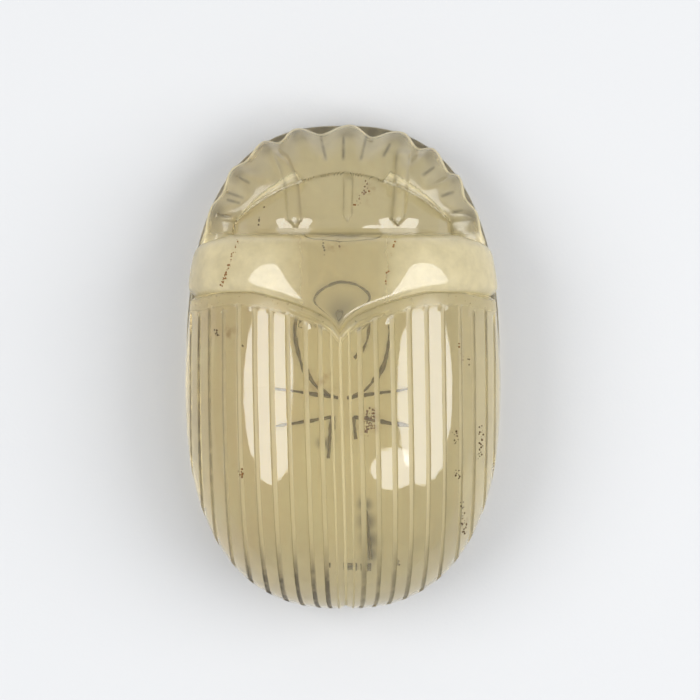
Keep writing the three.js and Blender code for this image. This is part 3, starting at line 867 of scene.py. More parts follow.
@dataclass(frozen=True)
class Head:
    """The head with its scalloped rim, toothed front legs and ridges, in millimetres and degrees."""

    plan: Outline
    edge_thickness: float = 1.9
    crest_z: float = 14.1
    crest_ahead: float = 1.75
    crest_round: float = 0.4
    front_slope: float = 0.4
    nape_slope: float = 0.2
    across_radius: float = 15.0
    middle_lobe_proud: float = 0.35
    front_inset: float = 0.4
    side_outset: float = 0.4
    lobe_depth: float = 1.5
    edge_scallop: float = 0.45
    lobe_reach: float = 0.75
    rim_step: float = 0.4
    rim_step_width: float = 0.28
    blade: float = 0.75
    blade_width: float = 1.35
    blade_from: float = 37.0
    blade_to: float = 84.0
    fall_power: float = 0.8
    teeth: tuple[float, ...] = (-78.8, -59.2, -40.5, -23.9, 3.1, 29.9, 46.4, 63.0, 80.7)
    notches: tuple[float, ...] = (-96.0, -70.1, -52.4, -34.4, -12.4, 16.3, 40.7, 58.7, 73.0, 96.0)
    cuts: tuple[float, ...] = (0.4, 0.5, 0.5, 0.85, 1.0, 1.25, 0.9, 0.65, 0.55, 0.4)
    rim_inner: float = 0.383
    rim_spread: float = 0.3
    rim_power: float = 2.6
    tuck: float = 2.0
    rim_turn: float = 83.0
    front_turn: float = 88.0
    around_front: int = 388
    around_behind: int = 40
    radii: int = 88
    ridges: tuple[HeadRidge, ...] = (
        HeadRidge(((15.0, -5.2), (20.2, -5.7), (22.4, -6.5), (23.9, -7.2)), 1.75, 0.6),
        HeadRidge(((15.6, 0.5), (20.4, 0.6), (21.2, 0.6)), 1.15, 0.4),
        HeadRidge(((15.2, 6.0), (20.2, 6.4), (24.2, 6.7)), 1.7, 0.95),
    )
    hatches: tuple[Hatch, ...] = (
        Hatch(-12.6, 10.0, 2.9),
        Hatch(0.3, 9.7, 2.8),
        Hatch(13.3, 10.0, 2.9),
        Hatch(27.1, 10.6, 1.7),
        Hatch(53.1, 11.8, 1.6),
        Hatch(68.3, 12.4, 1.5),
        Hatch(78.0, 12.9, 1.3),
        Hatch(-60.7, 12.6, 1.7),
        Hatch(-69.3, 12.7, 1.9),
        Hatch(-72.6, 12.7, 1.6),
        Hatch(-80.4, 13.3, 1.6),
    )

    @property
    def underside_z(self) -> float:
        """Height of the head's underside."""
        return self.plan.plate_thickness + self.plan.band_height / 2.0

    def notch_share(self, angle: Array) -> Array:
        """Give how far each direction is from a tooth's tip, 0, to a notch, 1.

        Args:
            angle: Directions in radians.

        Returns:
            The share at each direction.
        """
        knots = sorted([(a, 0.0) for a in self.teeth] + [(a, 1.0) for a in self.notches])
        places, values = zip(*knots)
        return smooth(np.interp(np.degrees(angle), places, values)) ** 1.15

    def notch_cut(self, angle: Array) -> Array:
        """Give how deep the outline is cut in at each direction."""
        return np.interp(np.degrees(angle), self.notches, self.cuts) * self.notch_share(angle)

    def reach(self, angle: Array) -> Array:
        """Give the distance from the head's centre to the unscalloped outline.

        Args:
            angle: Directions in radians.

        Returns:
            The distance at each direction.
        """
        s, c = np.abs(np.sin(angle)), np.cos(angle)
        low, high = np.zeros_like(s), np.full_like(s, self.plan.half_length)
        for _ in range(40):
            r = (low + high) / 2.0
            inside = r * s < self.plan.back_half_width(self.plan.head_y + r * c)
            low, high = np.where(inside, r, low), np.where(inside, high, r)
        behind = np.minimum(low, self.tuck / np.maximum(-c, 1e-6))
        c = np.maximum(c, 0.0)
        shift = self.middle_lobe_proud * c**16 - self.front_inset * c * c + self.side_outset * (s * c) * 2.0
        return np.where(c > 0, low + shift, behind)

    def radius(self, angle: Array) -> Array:
        """Give the distance from the head's centre to the scalloped outline."""
        return self.reach(angle) - np.where(np.cos(angle) > 0, self.notch_cut(angle), 0.0)

    def inner_radius(self, angle: Array) -> Array:
        """Give the distance from the head's centre to the rim's inner edge."""
        share = np.minimum(1.0, np.abs(angle) / math.radians(self.rim_turn))
        return self.plan.half_width * (self.rim_inner + self.rim_spread * share**self.rim_power)

    def crown(self, x: Array, y: Array) -> Array:
        """Give the height of the plain head: round across, with a crest before the thorax.

        Args:
            x: Places across.
            y: Places along.

        Returns:
            The height at each place.
        """
        ahead = y - self.plan.head_y - self.crest_ahead
        ramp = np.sqrt(ahead**2 + self.crest_round**2)
        fall = self.front_slope * (ramp + ahead) / 2.0 + self.nape_slope * (ramp - ahead) / 2.0
        side = self.across_radius - np.sqrt(np.maximum(self.across_radius**2 - x * x, 1.0))
        return self.crest_z - fall - side

    def point(self, angle: Array, r: Array) -> Array:
        """Give points of the head's upper side, r from its centre.

        Args:
            angle: Directions in radians, 0 towards the front and positive towards +X.
            r: Distances from the head's centre.

        Returns:
            The points, one row each.
        """
        plan = self.plan
        x, y = r * np.sin(angle), plan.head_y + r * np.cos(angle)
        reach, inner = self.radius(angle), self.inner_radius(angle)
        edge = self.underside_z + self.edge_thickness
        start = np.minimum(r, inner)
        inside = self.crown(start * np.sin(angle), plan.head_y + start * np.cos(angle))
        out = np.clip((r - inner) / (reach - inner), 0.0, 1.0)
        fall = (1.0 - out**1.6) ** self.fall_power
        z = mix(edge, np.maximum(inside, edge), fall)
        step = self.rim_step * smooth((r - inner) / self.rim_step_width)
        across = np.abs(self.blade_place(angle, r))
        bump = self.blade * np.clip(1.0 - across**3, 0.0, 1.0)
        notch = self.notch_share(angle)
        valley = self.lobe_depth * notch * smooth((out - 1.0 + self.lobe_reach) / self.lobe_reach)
        hatch = sum(hatch.depth_at(angle, r) for hatch in self.hatches)
        front = np.cos(angle) > 0
        inward = 1.0 - out**8
        low_edge = self.edge_scallop * notch * (1.0 - inward)
        shaped = ((step + bump - valley) * inward - hatch - low_edge) * front
        ridge = sum(ridge.height_at(x, y) for ridge in self.ridges) * front
        return np.stack([x, y, np.maximum(z + shaped + ridge, edge - self.edge_thickness / 2.0)], axis=-1)

    def blade_place(self, angle: Array, r: Array) -> Array:
        """Give where each place is across the front leg's blade: -1 at its inner edge and 1 at its outer.

        Args:
            angle: Directions in radians.
            r: Distances from the head's centre.

        Returns:
            The place across the blade.
        """
        turn = np.abs(np.degrees(angle))
        taper = np.clip((self.blade_to - turn) / (self.blade_to - self.blade_from), 0.0, 1.0) ** 0.7
        half = self.blade_width / 2.0 * np.maximum(taper, 0.05) * np.where(turn > self.blade_from, 1.0, 0.02)
        return (r - self.inner_radius(angle)) / half - 1.0

    def hatch_share(self, angle: Array, r: Array) -> Array:
        """Give how deep each place is in a hatch, from 0 to 1."""
        return np.clip(sum(hatch.depth_at(angle, r) / hatch.depth for hatch in self.hatches), 0.0, 1.0)

    def ridge_share(self, x: Array, y: Array) -> Array:
        """Give how far each place is up a ridge, from 0 to 1."""
        shares = [ridge.height_at(x, y) / ridge.height for ridge in self.ridges]
        return np.clip(sum(shares), 0.0, 1.0)

    def build(self) -> bpy.types.Object:
        """Make the closed head.

        Returns:
            The closed head, reaching into the thorax.
        """
        plan = self.plan
        limit = math.radians(self.front_turn)
        front = np.linspace(-limit, limit, self.around_front)
        behind = np.linspace(limit, 2.0 * math.pi - limit, self.around_behind)[1:-1]
        angle = np.concatenate([front, np.where(behind > math.pi, behind - 2.0 * math.pi, behind)])[None]
        reach = self.radius(angle)
        share = np.linspace(0.0, 1.0, self.radii + 1)[1:]
        share = (1.0 - (1.0 - share) ** 1.2)[:, None]
        top = self.point(angle + 0.0 * share, reach * share)
        low_share = np.array([1.0, 0.6, 0.25])[:, None]
        under = self.point(angle + 0.0 * low_share, reach * low_share)
        under[..., 2] = self.underside_z
        rings = np.concatenate([top, under])
        crown = self.point(np.array(0.0), np.array(0.0))
        return Meshes.loft("head", rings, crown, np.array([0.0, plan.head_y, self.underside_z]))


@dataclass(frozen=True)
class Stroke:
    """One engraved stroke, with the shares of its length that get a bar of painted shade."""

    path: Array
    shaded_parts: tuple[tuple[float, float], ...]

    def part(self, first: float, last: float, step: float) -> Array:
        """Cut a part out of the path, with points a step apart.

        Args:
            first: Where the part begins, as a share of the length.
            last: Where it ends.
            step: The distance between points in millimetres.

        Returns:
            The points, one row each.
        """
        lengths = np.concatenate([[0.0], np.cumsum(np.linalg.norm(np.diff(self.path, axis=0), axis=1))])
        whole = float(lengths[-1])
        at = np.linspace(first * whole, last * whole, max(3, round((last - first) * whole / step)))
        return np.stack([np.interp(at, lengths, self.path[:, k]) for k in range(3)], axis=1)


@dataclass(frozen=True)
class LoopedCross:
    """The looped cross engraved in the underside as outline strokes, in shares of the plan."""

    plan: Outline
    width: float = 0.44
    depth: float = 0.26
    worn_depth: float = 0.04
    bar_top: float = -0.13
    bar_low: float = -0.2
    flare: float = 0.035
    arm_reach: float = 0.315
    neck: float = 0.045
    foot: float = 0.13
    foot_y: float = -0.707
    foot_gap: float = 0.008
    loop_top: float = 0.305
    loop_width: float = 0.245
    loop_gap: float = 0.25
    inner_width: float = 0.135
    inner_drop: float = 0.07
    inner_rise: float = 0.13
    steps: int = 60
    skin: float = 0.02
    slim_share: float = 0.5
    slim_by: float = 5.0
    shade_step: float = 0.28
    thinnest: float = 0.35
    thickest: float = 1.1
    seed: int = 5

    def place(self, x: Array, y: Array) -> Array:
        """Turn shares of the half width and half length into points on the underside."""
        plan = self.plan
        x, y = np.broadcast_arrays(np.asarray(x, float), np.asarray(y, float))
        return np.stack([x * plan.half_width, y * plan.half_length, 0.0 * x], axis=-1)

    def loop(self, width: float, top: float, low: float, gap: float) -> Array:
        """Give the points of a drop-shaped loop with its point at the bottom.

        Args:
            width: Its widest reach from the middle.
            top: Where its top lies.
            low: Where its point lies.
            gap: How much of the turn is left open at the point.

        Returns:
            The points, one row each.
        """
        a = np.linspace(gap, 2.0 * math.pi - gap, self.steps)
        x = width * np.sin(a) * mix(0.8, 1.0, np.sin(a / 2.0) ** 2)
        return self.place(x, mix(low, top, (1.0 - np.cos(a)) / 2.0))

    def strokes(self) -> list[Stroke]:
        """Give the path of every stroke, and the shares of it that get painted shade.

        Returns:
            The strokes.
        """
        foot = [-self.foot, self.foot]
        inner_top, inner_low = self.loop_top - self.inner_drop, self.bar_top + self.inner_rise
        found = [
            Stroke(self.loop(self.loop_width, self.loop_top, self.bar_top, self.loop_gap), ((0.0, 1.0),)),
            Stroke(self.loop(self.inner_width, inner_top, inner_low, 0.0), ((0.06, 0.75),)),
            Stroke(self.place(foot, [self.foot_y] * 2), ((0.2, 0.26), (0.53, 0.74), (0.83, 1.0))),
            Stroke(self.place(foot, [self.foot_y - self.foot_gap] * 2), ((0.53, 0.74), (0.83, 1.0))),
        ]
        for side in (-1, 1):
            high, low = self.bar_top + self.flare, self.bar_low - self.flare
            arm, neck, end = side * self.arm_reach, side * self.neck, side * self.foot
            stem = ((0.0, 0.3),) if side < 0 else ((0.0, 0.16), (0.6, 0.97))
            found += [
                Stroke(self.place([side * 0.02, arm], [self.bar_top, high]), ((0.0, 1.0),)),
                Stroke(self.place([neck, arm], [self.bar_low, low]), ((0.0, 1.0),)),
                Stroke(self.place([arm, arm], [high, low]), ()),
                Stroke(self.place([neck, end], [self.bar_low, self.foot_y]), stem),
            ]
        return found

    def build(self) -> list[bpy.types.Object]:
        """Make the bars that cut the strokes: deep where they get painted shade, and faint where they are
        worn.

        Returns:
            The closed bars.
        """
        worn = Bar(self.width, -self.worn_depth, self.depth)
        faint = [worn.build("stroke", stroke.path, self.down(stroke.path)) for stroke in self.strokes()]
        return faint + self.shade_bars("stroke", 0.0, self.depth)

    @staticmethod
    def down(path: Array) -> Array:
        """Give the underside's outward normal for each point of a path."""
        return np.tile([0.0, 0.0, -1.0], (len(path), 1))

    def shade_bars(self, name: str, skin: float, sink: float) -> list[bpy.types.Object]:
        """Make uneven bars over the parts of the strokes that get painted shade.

        Args:
            name: The bars' name.
            skin: How much wider and deeper than the cut they are.
            sink: How far they reach out of the stone.

        Returns:
            One bar for each part.
        """
        bar = Bar(self.width + skin, -(self.depth + skin), sink)
        rng = np.random.default_rng(self.seed)
        bars = []
        for stroke in self.strokes():
            for first, last in stroke.shaded_parts:
                path = stroke.part(first, last, self.shade_step) + [0.0, 0.0, skin]
                slim = mix(1.0, self.slim_share, smooth(path[:, 1] / self.slim_by))
                rough = rng.uniform(self.thinnest, self.thickest, len(path) + 1)
                uneven = np.convolve(rough, np.ones(2) / 2.0, mode="valid")
                bars.append(bar.build(name, path, self.down(path), uneven * slim))
        return bars

    def dirt_and_shade(self) -> bpy.types.Object:
        """Make the dark bars of painted shade in parts of the strokes.

        Returns:
            The painted shade as one object.
        """
        first, *rest = self.shade_bars("cross_painted_shade", self.skin, self.skin / 2.0)
        Meshes.combine(first, rest, "UNION")
        Meshes.dress(first, DirtAndShadeFinish().build())
        return first


class Socket:
    """One output of a shader node, with arithmetic that adds the nodes it needs."""

    def __init__(self, graph: "Graph", socket: bpy.types.NodeSocket) -> None:
        """Wrap a node's output."""
        self.graph = graph
        self.socket = socket

    def _math(self, operation: str, *values: Any) -> "Socket":
        """Add a maths node with these inputs."""
        return self.graph.node("ShaderNodeMath", {"operation": operation}, dict(enumerate(values)))

    def __add__(self, other: Any) -> "Socket":
        """Add."""
        return self._math("ADD", self, other)

    __radd__ = __add__

    def __sub__(self, other: Any) -> "Socket":
        """Subtract."""
        return self._math("SUBTRACT", self, other)

    def __rsub__(self, other: Any) -> "Socket":
        """Subtract from other."""
        return self._math("SUBTRACT", other, self)

    def __mul__(self, other: Any) -> "Socket":
        """Multiply."""
        return self._math("MULTIPLY", self, other)

    __rmul__ = __mul__

    def clamped(self) -> "Socket":
        """Keep between 0 and 1."""
        return self.graph.node("ShaderNodeClamp", {}, {"Value": self})

    def between(self, low: float, high: float) -> "Socket":
        """Ease from 0 at low to 1 at high."""
        settings = {"interpolation_type": "SMOOTHSTEP"}
        return self.graph.node("ShaderNodeMapRange", settings, {0: self, 1: low, 2: high, 3: 0.0, 4: 1.0})


class Graph:
    """A material's node tree, filled through one method."""

    def __init__(self, name: str) -> None:
        """Start a material with an empty tree."""
        self.material = bpy.data.materials.new(name)
        self.material.use_nodes = True
        self.tree = self.material.node_tree
        self.tree.nodes.clear()

    def node(self, kind: str, settings: dict[str, Any], inputs: dict[Any, Any], output: Any = 0) -> Socket:
        """Add a node.

        Args:
            kind: The node's type.
            settings: Values for its properties.
            inputs: Values or sockets for its inputs, by name or number.
            output: Which output to give back.

        Returns:
            The chosen output.
        """
        node = self.tree.nodes.new(kind)
        for name, value in settings.items():
            setattr(node, name, value)
        for key, value in inputs.items():
            if isinstance(value, Socket):
                self.tree.links.new(value.socket, node.inputs[key])
            else:
                node.inputs[key].default_value = value
        return Socket(self, node.outputs[output])

    def attribute(self, name: str) -> Socket:
        """Read a number stored for each vertex."""
        return self.node("ShaderNodeAttribute", {"attribute_name": name}, {}, "Fac")

    def place(self) -> Socket:
        """Read the place on the object."""
        return self.node("ShaderNodeTexCoord", {}, {}, "Object")

    def noise(
        self, scale: float, detail: float = 3.0, roughness: float = 0.5, stretch: Any = None
    ) -> Socket:
        """Add noise over the object's own place, stretched by a scale for each axis if given.

        Args:
            scale: How fine it is.
            detail: How many finer layers it has.
            roughness: How strong the finer layers are.
            stretch: A scale for each axis.

        Returns:
            The noise.
        """
        vector = self.place()
        if stretch is not None:
            vector = self.node("ShaderNodeMapping", {}, {"Vector": vector, "Scale": stretch}, "Vector")
        inputs = {"Vector": vector, "Scale": scale, "Detail": detail, "Roughness": roughness}
        return self.node("ShaderNodeTexNoise", {}, inputs, "Fac")

    def most(self, a: Socket, b: Socket) -> Socket:
        """Take the larger of two numbers."""
        return self.node("ShaderNodeMath", {"operation": "MAXIMUM"}, {0: a, 1: b})

    def spot(self, ball: Sequence[float]) -> Socket:
        """Fade from 1 to 0 over a ball, given by its centre and radius in millimetres.

        Args:
            ball: The centre's three places and the radius.

        Returns:
            The share.
        """
        centre = tuple(v * MM for v in ball[:3])
        reach = {0: self.place(), 1: centre}
        distance = self.node("ShaderNodeVectorMath", {"operation": "DISTANCE"}, reach, "Value")
        return distance.between(ball[3] * MM, 0.0)

    def blend(self, a: Any, b: Any, share: Any) -> Socket:
        """Mix two colours."""
        settings = {"data_type": "RGBA"}
        return self.node("ShaderNodeMix", settings, {0: share, 6: rgba(a), 7: rgba(b)}, 2)

    def output(self, surface: Socket, volume: Socket | None = None) -> bpy.types.Material:
        """End the tree with its surface, and its volume if it has one.

        Args:
            surface: The surface's shader.
            volume: The volume's shader.

        Returns:
            The finished material.
        """
        inputs = {"Surface": surface} | ({"Volume": volume} if volume else {})
        node = self.tree.nodes.new("ShaderNodeOutputMaterial")
        for name, socket in inputs.items():
            self.tree.links.new(socket.socket, node.inputs[name])
        return self.material


def rgba(colour: Any) -> Any:
    """Give a colour of three numbers a full alpha, and leave a socket as it is."""
    return colour if isinstance(colour, Socket) else (*colour, 1.0)


@dataclass(frozen=True)
class QuartzFinish:
    """See-through smoky yellow quartz, polished or ground, milky in places, darker with painted shade and
    some dirt in its cuts, creases and hollows.
    """

    clear: Colour = (1.0, 0.975, 0.87)
    brownish: Colour = (0.98, 0.88, 0.74)
    streaks: tuple[float, float, float] = (30.0, 1.5, 30.0)
    streak_strength: float = 0.6
    stain: Colour = (0.5, 0.33, 0.16)
    stains: tuple[tuple[float, float, float, float], ...] = (
        (-1.2, 13.2, 18.0, 2.3),
        (2.9, 18.9, 12.5, 2.2),
        (2.9, -6.2, 18.8, 2.4),
        (-12.6, 3.6, 15.0, 2.0),
        (-2.5, -2.0, 18.8, 3.0),
        (-11.1, -11.7, 14.6, 1.6),
        (13.3, -16.8, 10.5, 2.0),
    )
    # Dark colour of the painted shade and dirt.
    dirt_and_shade: Colour = (0.13, 0.115, 0.095)
    # A dark patch of painted shade on the underside under the thorax, seen through the stone: centre and
    # radius in millimetres.
    shade_patch: tuple[float, float, float, float] = (0.1, 5.4, 0.0, 3.1)
    shade_patch_strength: float = 0.95
    # Soft dark patches of painted shade on the underside along the cross's stems: centres and radii in
    # millimetres.
    stem_shades: tuple[tuple[float, float, float, float], ...] = (
        (1.8, -13.8, 0.0, 1.0),
        (2.0, -15.4, 0.0, 1.3),
        (2.2, -17.0, 0.0, 1.4),
        (2.3, -18.2, 0.0, 1.1),
        (-1.6, -8.0, 0.0, 0.9),
    )
    stem_shade_strength: float = 0.8
    milk: Colour = (0.88, 0.78, 0.49)
    body: Colour = (0.97, 0.80, 0.08)
    density: float = 22.0
    index: float = 1.54
    polished: float = 0.03
    polish: float = 0.9
    ground: float = 0.42
    milk_rough: float = 0.5
    milk_clearness: float = 0.5
    brown_scale: float = 160.0
    grain_scale: float = 2600.0
    dirt_and_shade_scale: float = 700.0
    stain_scale: float = 900.0
    milk_scale: float = 500.0
    wave_scale: float = 220.0
    wave_strength: float = 0.1
    wave_rise: float = 0.0004

    def build(self) -> bpy.types.Material:
        """Make the material."""
        g = Graph("quartz")
        grain = g.noise(self.grain_scale, 2.0)
        # Darker colour: mostly painted shade from the stored attribute, with some dirt, plus patches of
        # painted shade under the thorax and along the cross's stems.
        patchy = g.noise(self.dirt_and_shade_scale, 4.0).between(0.25, 0.6) * 0.5 + 0.6
        dirt_and_shade = (g.attribute("dirt_and_shade") * patchy).clamped()
        dirt_and_shade = g.most(dirt_and_shade, g.spot(self.shade_patch) * self.shade_patch_strength)
        for ball in self.stem_shades:
            dirt_and_shade = g.most(dirt_and_shade, g.spot(ball) * self.stem_shade_strength)
        brown = g.attribute("brown") * g.noise(self.brown_scale, 4.0).between(0.3, 0.65)
        tint = g.blend(self.clear, self.brownish, brown)
        streak = g.noise(40.0, 5.0, 0.65, self.streaks).between(0.4, 0.8)
        tint = g.blend(tint, self.brownish, streak * self.streak_strength)
        stained = g.noise(self.stain_scale, 5.0).between(0.4, 0.75)
        for ball in self.stains:
            tint = g.blend(tint, self.stain, g.spot(ball) * stained)
        # Mix in the dark colour of painted shade and dirt.
        colour = g.blend(tint, self.dirt_and_shade, dirt_and_shade)
        rough = self.polished + g.attribute("ground") * (self.ground - self.polished) + grain * 0.03
        wave = g.noise(self.wave_scale, 2.0)
        rise = {"Strength": self.wave_strength, "Distance": self.wave_rise, "Height": wave}
        bump = g.node("ShaderNodeBump", {}, rise, "Normal")
        coat = (self.polish - g.attribute("ground")).clamped()
        clear = self.glass(g, colour, rough, bump, 1.0, coat)
        # The milky surface takes the same painted shade and dirt.
        milk_colour = g.blend(self.milk, self.dirt_and_shade, dirt_and_shade)
        milk = self.glass(g, milk_colour, self.milk_rough, bump, self.milk_clearness, coat)
        cloudy = g.noise(self.milk_scale, 5.0).between(0.2, 0.8) * 0.3 + 0.8
        share = (g.attribute("milk") * cloudy).clamped()
        surface = g.node("ShaderNodeMixShader", {}, {0: share, 1: clear, 2: milk})
        volume = g.node("ShaderNodeVolumeAbsorption", {}, {"Color": rgba(self.body), "Density": self.density})
        return g.output(surface, volume)

    def glass(
        self, g: Graph, colour: Socket, rough: Any, bump: Socket, clearness: float, coat: Any
    ) -> Socket:
        """Add a see-through surface.

        Args:
            g: The material's tree.
            colour: The surface's colour.
            rough: Its roughness.
            bump: Its normal.
            clearness: The share of light that goes through.
            coat: How much the polish adds to its shine.

        Returns:
            The surface's shader.
        """
        inputs = {
            "Base Color": colour,
            "Roughness": rough,
            "IOR": self.index,
            "Transmission Weight": clearness,
            "Coat Weight": coat,
            "Normal": bump,
        }
        return g.node("ShaderNodeBsdfPrincipled", {}, inputs)


@dataclass(frozen=True)
class DirtAndShadeFinish:
    """Dark, dull matter: the rust and umber grains, and the painted shade in the cross's strokes."""

    # Default colour: the painted shade in the cross's strokes; the grains give their own.
    colour: Colour = (0.18, 0.155, 0.1)

    def build(self) -> bpy.types.Material:
        """Make the material."""
        g = Graph("dirt_and_shade")
        inputs = {"Base Color": rgba(self.colour), "Roughness": 0.95, "Specular IOR Level": 0.1}
        return g.output(g.node("ShaderNodeBsdfPrincipled", {}, inputs))


@dataclass(frozen=True)
class PaperFinish:
    """Pale paper with a faint tooth."""

    colour: Colour = (0.592, 0.596, 0.605)
    tooth: float = 0.05
    tooth_scale: float = 2500.0
    tooth_rise: float = 0.0002

    def build(self) -> bpy.types.Material:
        """Make the material."""
        g = Graph("paper")
        fine = g.noise(self.tooth_scale, 3.0)
        rise = {"Strength": self.tooth, "Distance": self.tooth_rise, "Height": fine}
        bump = g.node("ShaderNodeBump", {}, rise, "Normal")
        inputs = {
            "Base Color": rgba(self.colour),
            "Roughness": 0.9,
            "Specular IOR Level": 0.1,
            "Normal": bump,
        }
        return g.output(g.node("ShaderNodeBsdfPrincipled", {}, inputs))


@dataclass(frozen=True)
class Scarab:
    """The whole carving: one stone, joined from its parts, engraved, dressed and declared."""

    plan: Outline
    overlap: float = 1.0
    sharp_from: float = 38.0
    finish: QuartzFinish = field(default_factory=QuartzFinish)

    def build(self) -> bpy.types.Object:
        """Make the stone.

        Returns:
            The finished stone.
        """
        plan = self.plan
        back = RibbedBack(plan)
        head = Head(plan)
        stone = back.build()
        parts = [Thorax(plan).build(), head.build(), *Pedestal(plan).build(self.overlap)]
        Meshes.combine(stone, parts, "UNION")
        Meshes.combine(stone, LoopedCross(plan).build(), "DIFFERENCE")
        stone.name = stone.data.name = "scarab_stone"
        self.paint(stone, back, head)
        Meshes.shade(stone, self.sharp_from)
        Meshes.dress(stone, self.finish.build())
        return stone

    def paint(self, stone: bpy.types.Object, back: RibbedBack, head: Head) -> None:
        """Store where the stone is ground, milky or brown, and where painted shade and some dirt darken it.

        Args:
            stone: The joined stone.
            back: Gives the cuts of the ribs.
            head: Gives the scalloped rim.
        """
        plan = self.plan
        x, y, z = Meshes.points(stone).T
        over = z > plan.lip_z + 0.05
        ahead = y > plan.head_y + 0.15
        on_head = ahead & (z > head.underside_z + 0.05)
        on_back = over & (y < plan.rear_edge_y(x) + 0.1)
        on_thorax = over & ~ahead & ~on_back
        ribs = np.where(on_back, np.clip(back.cut(x, y) / back.groove_depth, 0.0, 1.0), 0.0)
        fine = np.abs(back.angle_at(x, y)) < back.first_angle - 2.0
        angle, r = np.arctan2(x, y - plan.head_y), np.hypot(x, y - plan.head_y)
        rim = np.where(on_head, smooth((r - head.inner_radius(angle)) / 0.3), 0.0)
        ridge = np.where(on_head, head.ridge_share(x, y), 0.0)
        low = ~over & ~on_head
        plate = low & (z > 0.3) & (z < plan.plate_thickness + 0.2)
        under = z < 0.5
        left = over * smooth((-x - 14.5) / 2.0)
        right = on_back * smooth((x - 11.0) / 3.0)
        off = np.abs(x) / plan.half_width
        margin = np.maximum(smooth((off - 0.6) / 0.35), smooth((-y / plan.half_length - 0.7) / 0.25))
        worn = smooth((np.abs(x) - 9.5) / 6.0) * on_thorax
        cloud = smooth((np.abs(x) - 1.0) / 8.0) * on_thorax
        strip = smooth((y - 11.5) / 2.0) * on_thorax
        tail = smooth((-y - 17.5) / 6.0)
        edge = on_back * smooth((1.9 - (plan.rear_edge_y(x) - y)) / 0.7)
        near_edge = r - head.radius(angle)
        tips = (1.0 - head.notch_share(angle)) ** 2 * smooth((near_edge + 2.2) / 1.3)
        tips = tips * smooth(-near_edge / 0.35)
        ground = [
            np.sqrt(ribs),
            rim * 0.55,
            ridge * 0.35,
            low * Finish.SATIN.value,
            under * Finish.GROUND.value,
            worn * 0.4,
            edge * 0.6,
        ]
        valley = rim * head.notch_share(angle) ** 2 * smooth((r - head.inner_radius(angle) - 1.5) / 3.0)
        hatch = rim * head.hatch_share(angle, r)
        flank = np.clip(4.0 * ridge * (1.0 - ridge), 0.0, 1.0) + ridge * smooth((16.4 - y) / 0.8)
        nape_line = over * smooth((0.32 - np.abs(y - plan.head_y - 0.1 + plan.corner_drop(x))) / 0.3)
        rear_line = over * smooth((0.2 - np.abs(y - plan.rear_edge_y(x))) / 0.15)
        nape = np.where(on_head, smooth((plan.head_y + head.crest_ahead - 0.35 - y) / 0.3), 0.0)
        across = head.blade_place(angle, r)
        blade = rim * (np.abs(across) < 1.0) * mix(0.5, 1.0, smooth(across * 2.0))
        brim = rim * smooth((r - head.radius(angle) + 0.4) / 0.25)
        # Where the colour is darkened, mostly with painted shade.
        dirt_and_shade = [
            # Painted shade on the plate's crescents beyond the head's outline.
            plate * mix(0.15, 0.6, smooth((near_edge + 0.9) / 0.6)),
            # Painted shade on the band and legs under the back's rim.
            low * ~plate * (z > 0.5) * 0.3,
            # Darker along the -X rim.
            left * 0.3,
            # Painted shade in the back's cut lines, stronger at the margins, at the tail and on the -X side.
            ribs * ~fine * (0.06 + np.where(x < 0.0, 0.75, 0.35) * margin + 0.3 * tail),
            # Darker near the lobes' tips.
            rim * tips * 0.6,
            # Painted shade in the valleys between the lobes, in the hatches, and on the ridges' flanks and
            # pointed ends.
            valley * 0.22,
            hatch * 0.75,
            flank * 0.4,
            # Painted shade in the creases along the thorax's front and rear edges.
            nape_line * 0.55,
            rear_line * 0.3,
        ]
        milk = [
            cloud * 0.75,
            on_thorax * 0.18,
            strip * 0.24,
            right * 0.24,
            edge * 0.2,
            rim * 0.24,
            blade,
            brim * 0.95,
            ridge * 0.24,
            nape * 0.22,
            ribs * np.where(fine, 0.9, 0.4),
            on_head * 0.2,
            tail * on_back * 0.22,
            np.full_like(x, 0.07),
        ]
        brown = np.clip((4.0 - x) / 16.0, 0.15, 1.0) * np.where(on_head, 0.3, 1.0)
        Meshes.paint(stone, "ground", np.maximum.reduce(ground))
        Meshes.paint(stone, "dirt_and_shade", np.maximum.reduce(dirt_and_shade))
        Meshes.paint(stone, "milk", np.maximum.reduce(milk))
        Meshes.paint(stone, "brown", brown)

    def declare(self, stone: bpy.types.Object) -> None:
        """Tell the frame what the stone is."""
        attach(stone, BODY)
        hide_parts(NODE)


@dataclass(frozen=True)
class Trail:
    """A narrow sheet of grains sealed in the stone, by its path seen from above, in millimetres."""

    path: tuple[tuple[float, float], ...]
    width: float
    depth: float
    slant: float = 0.6


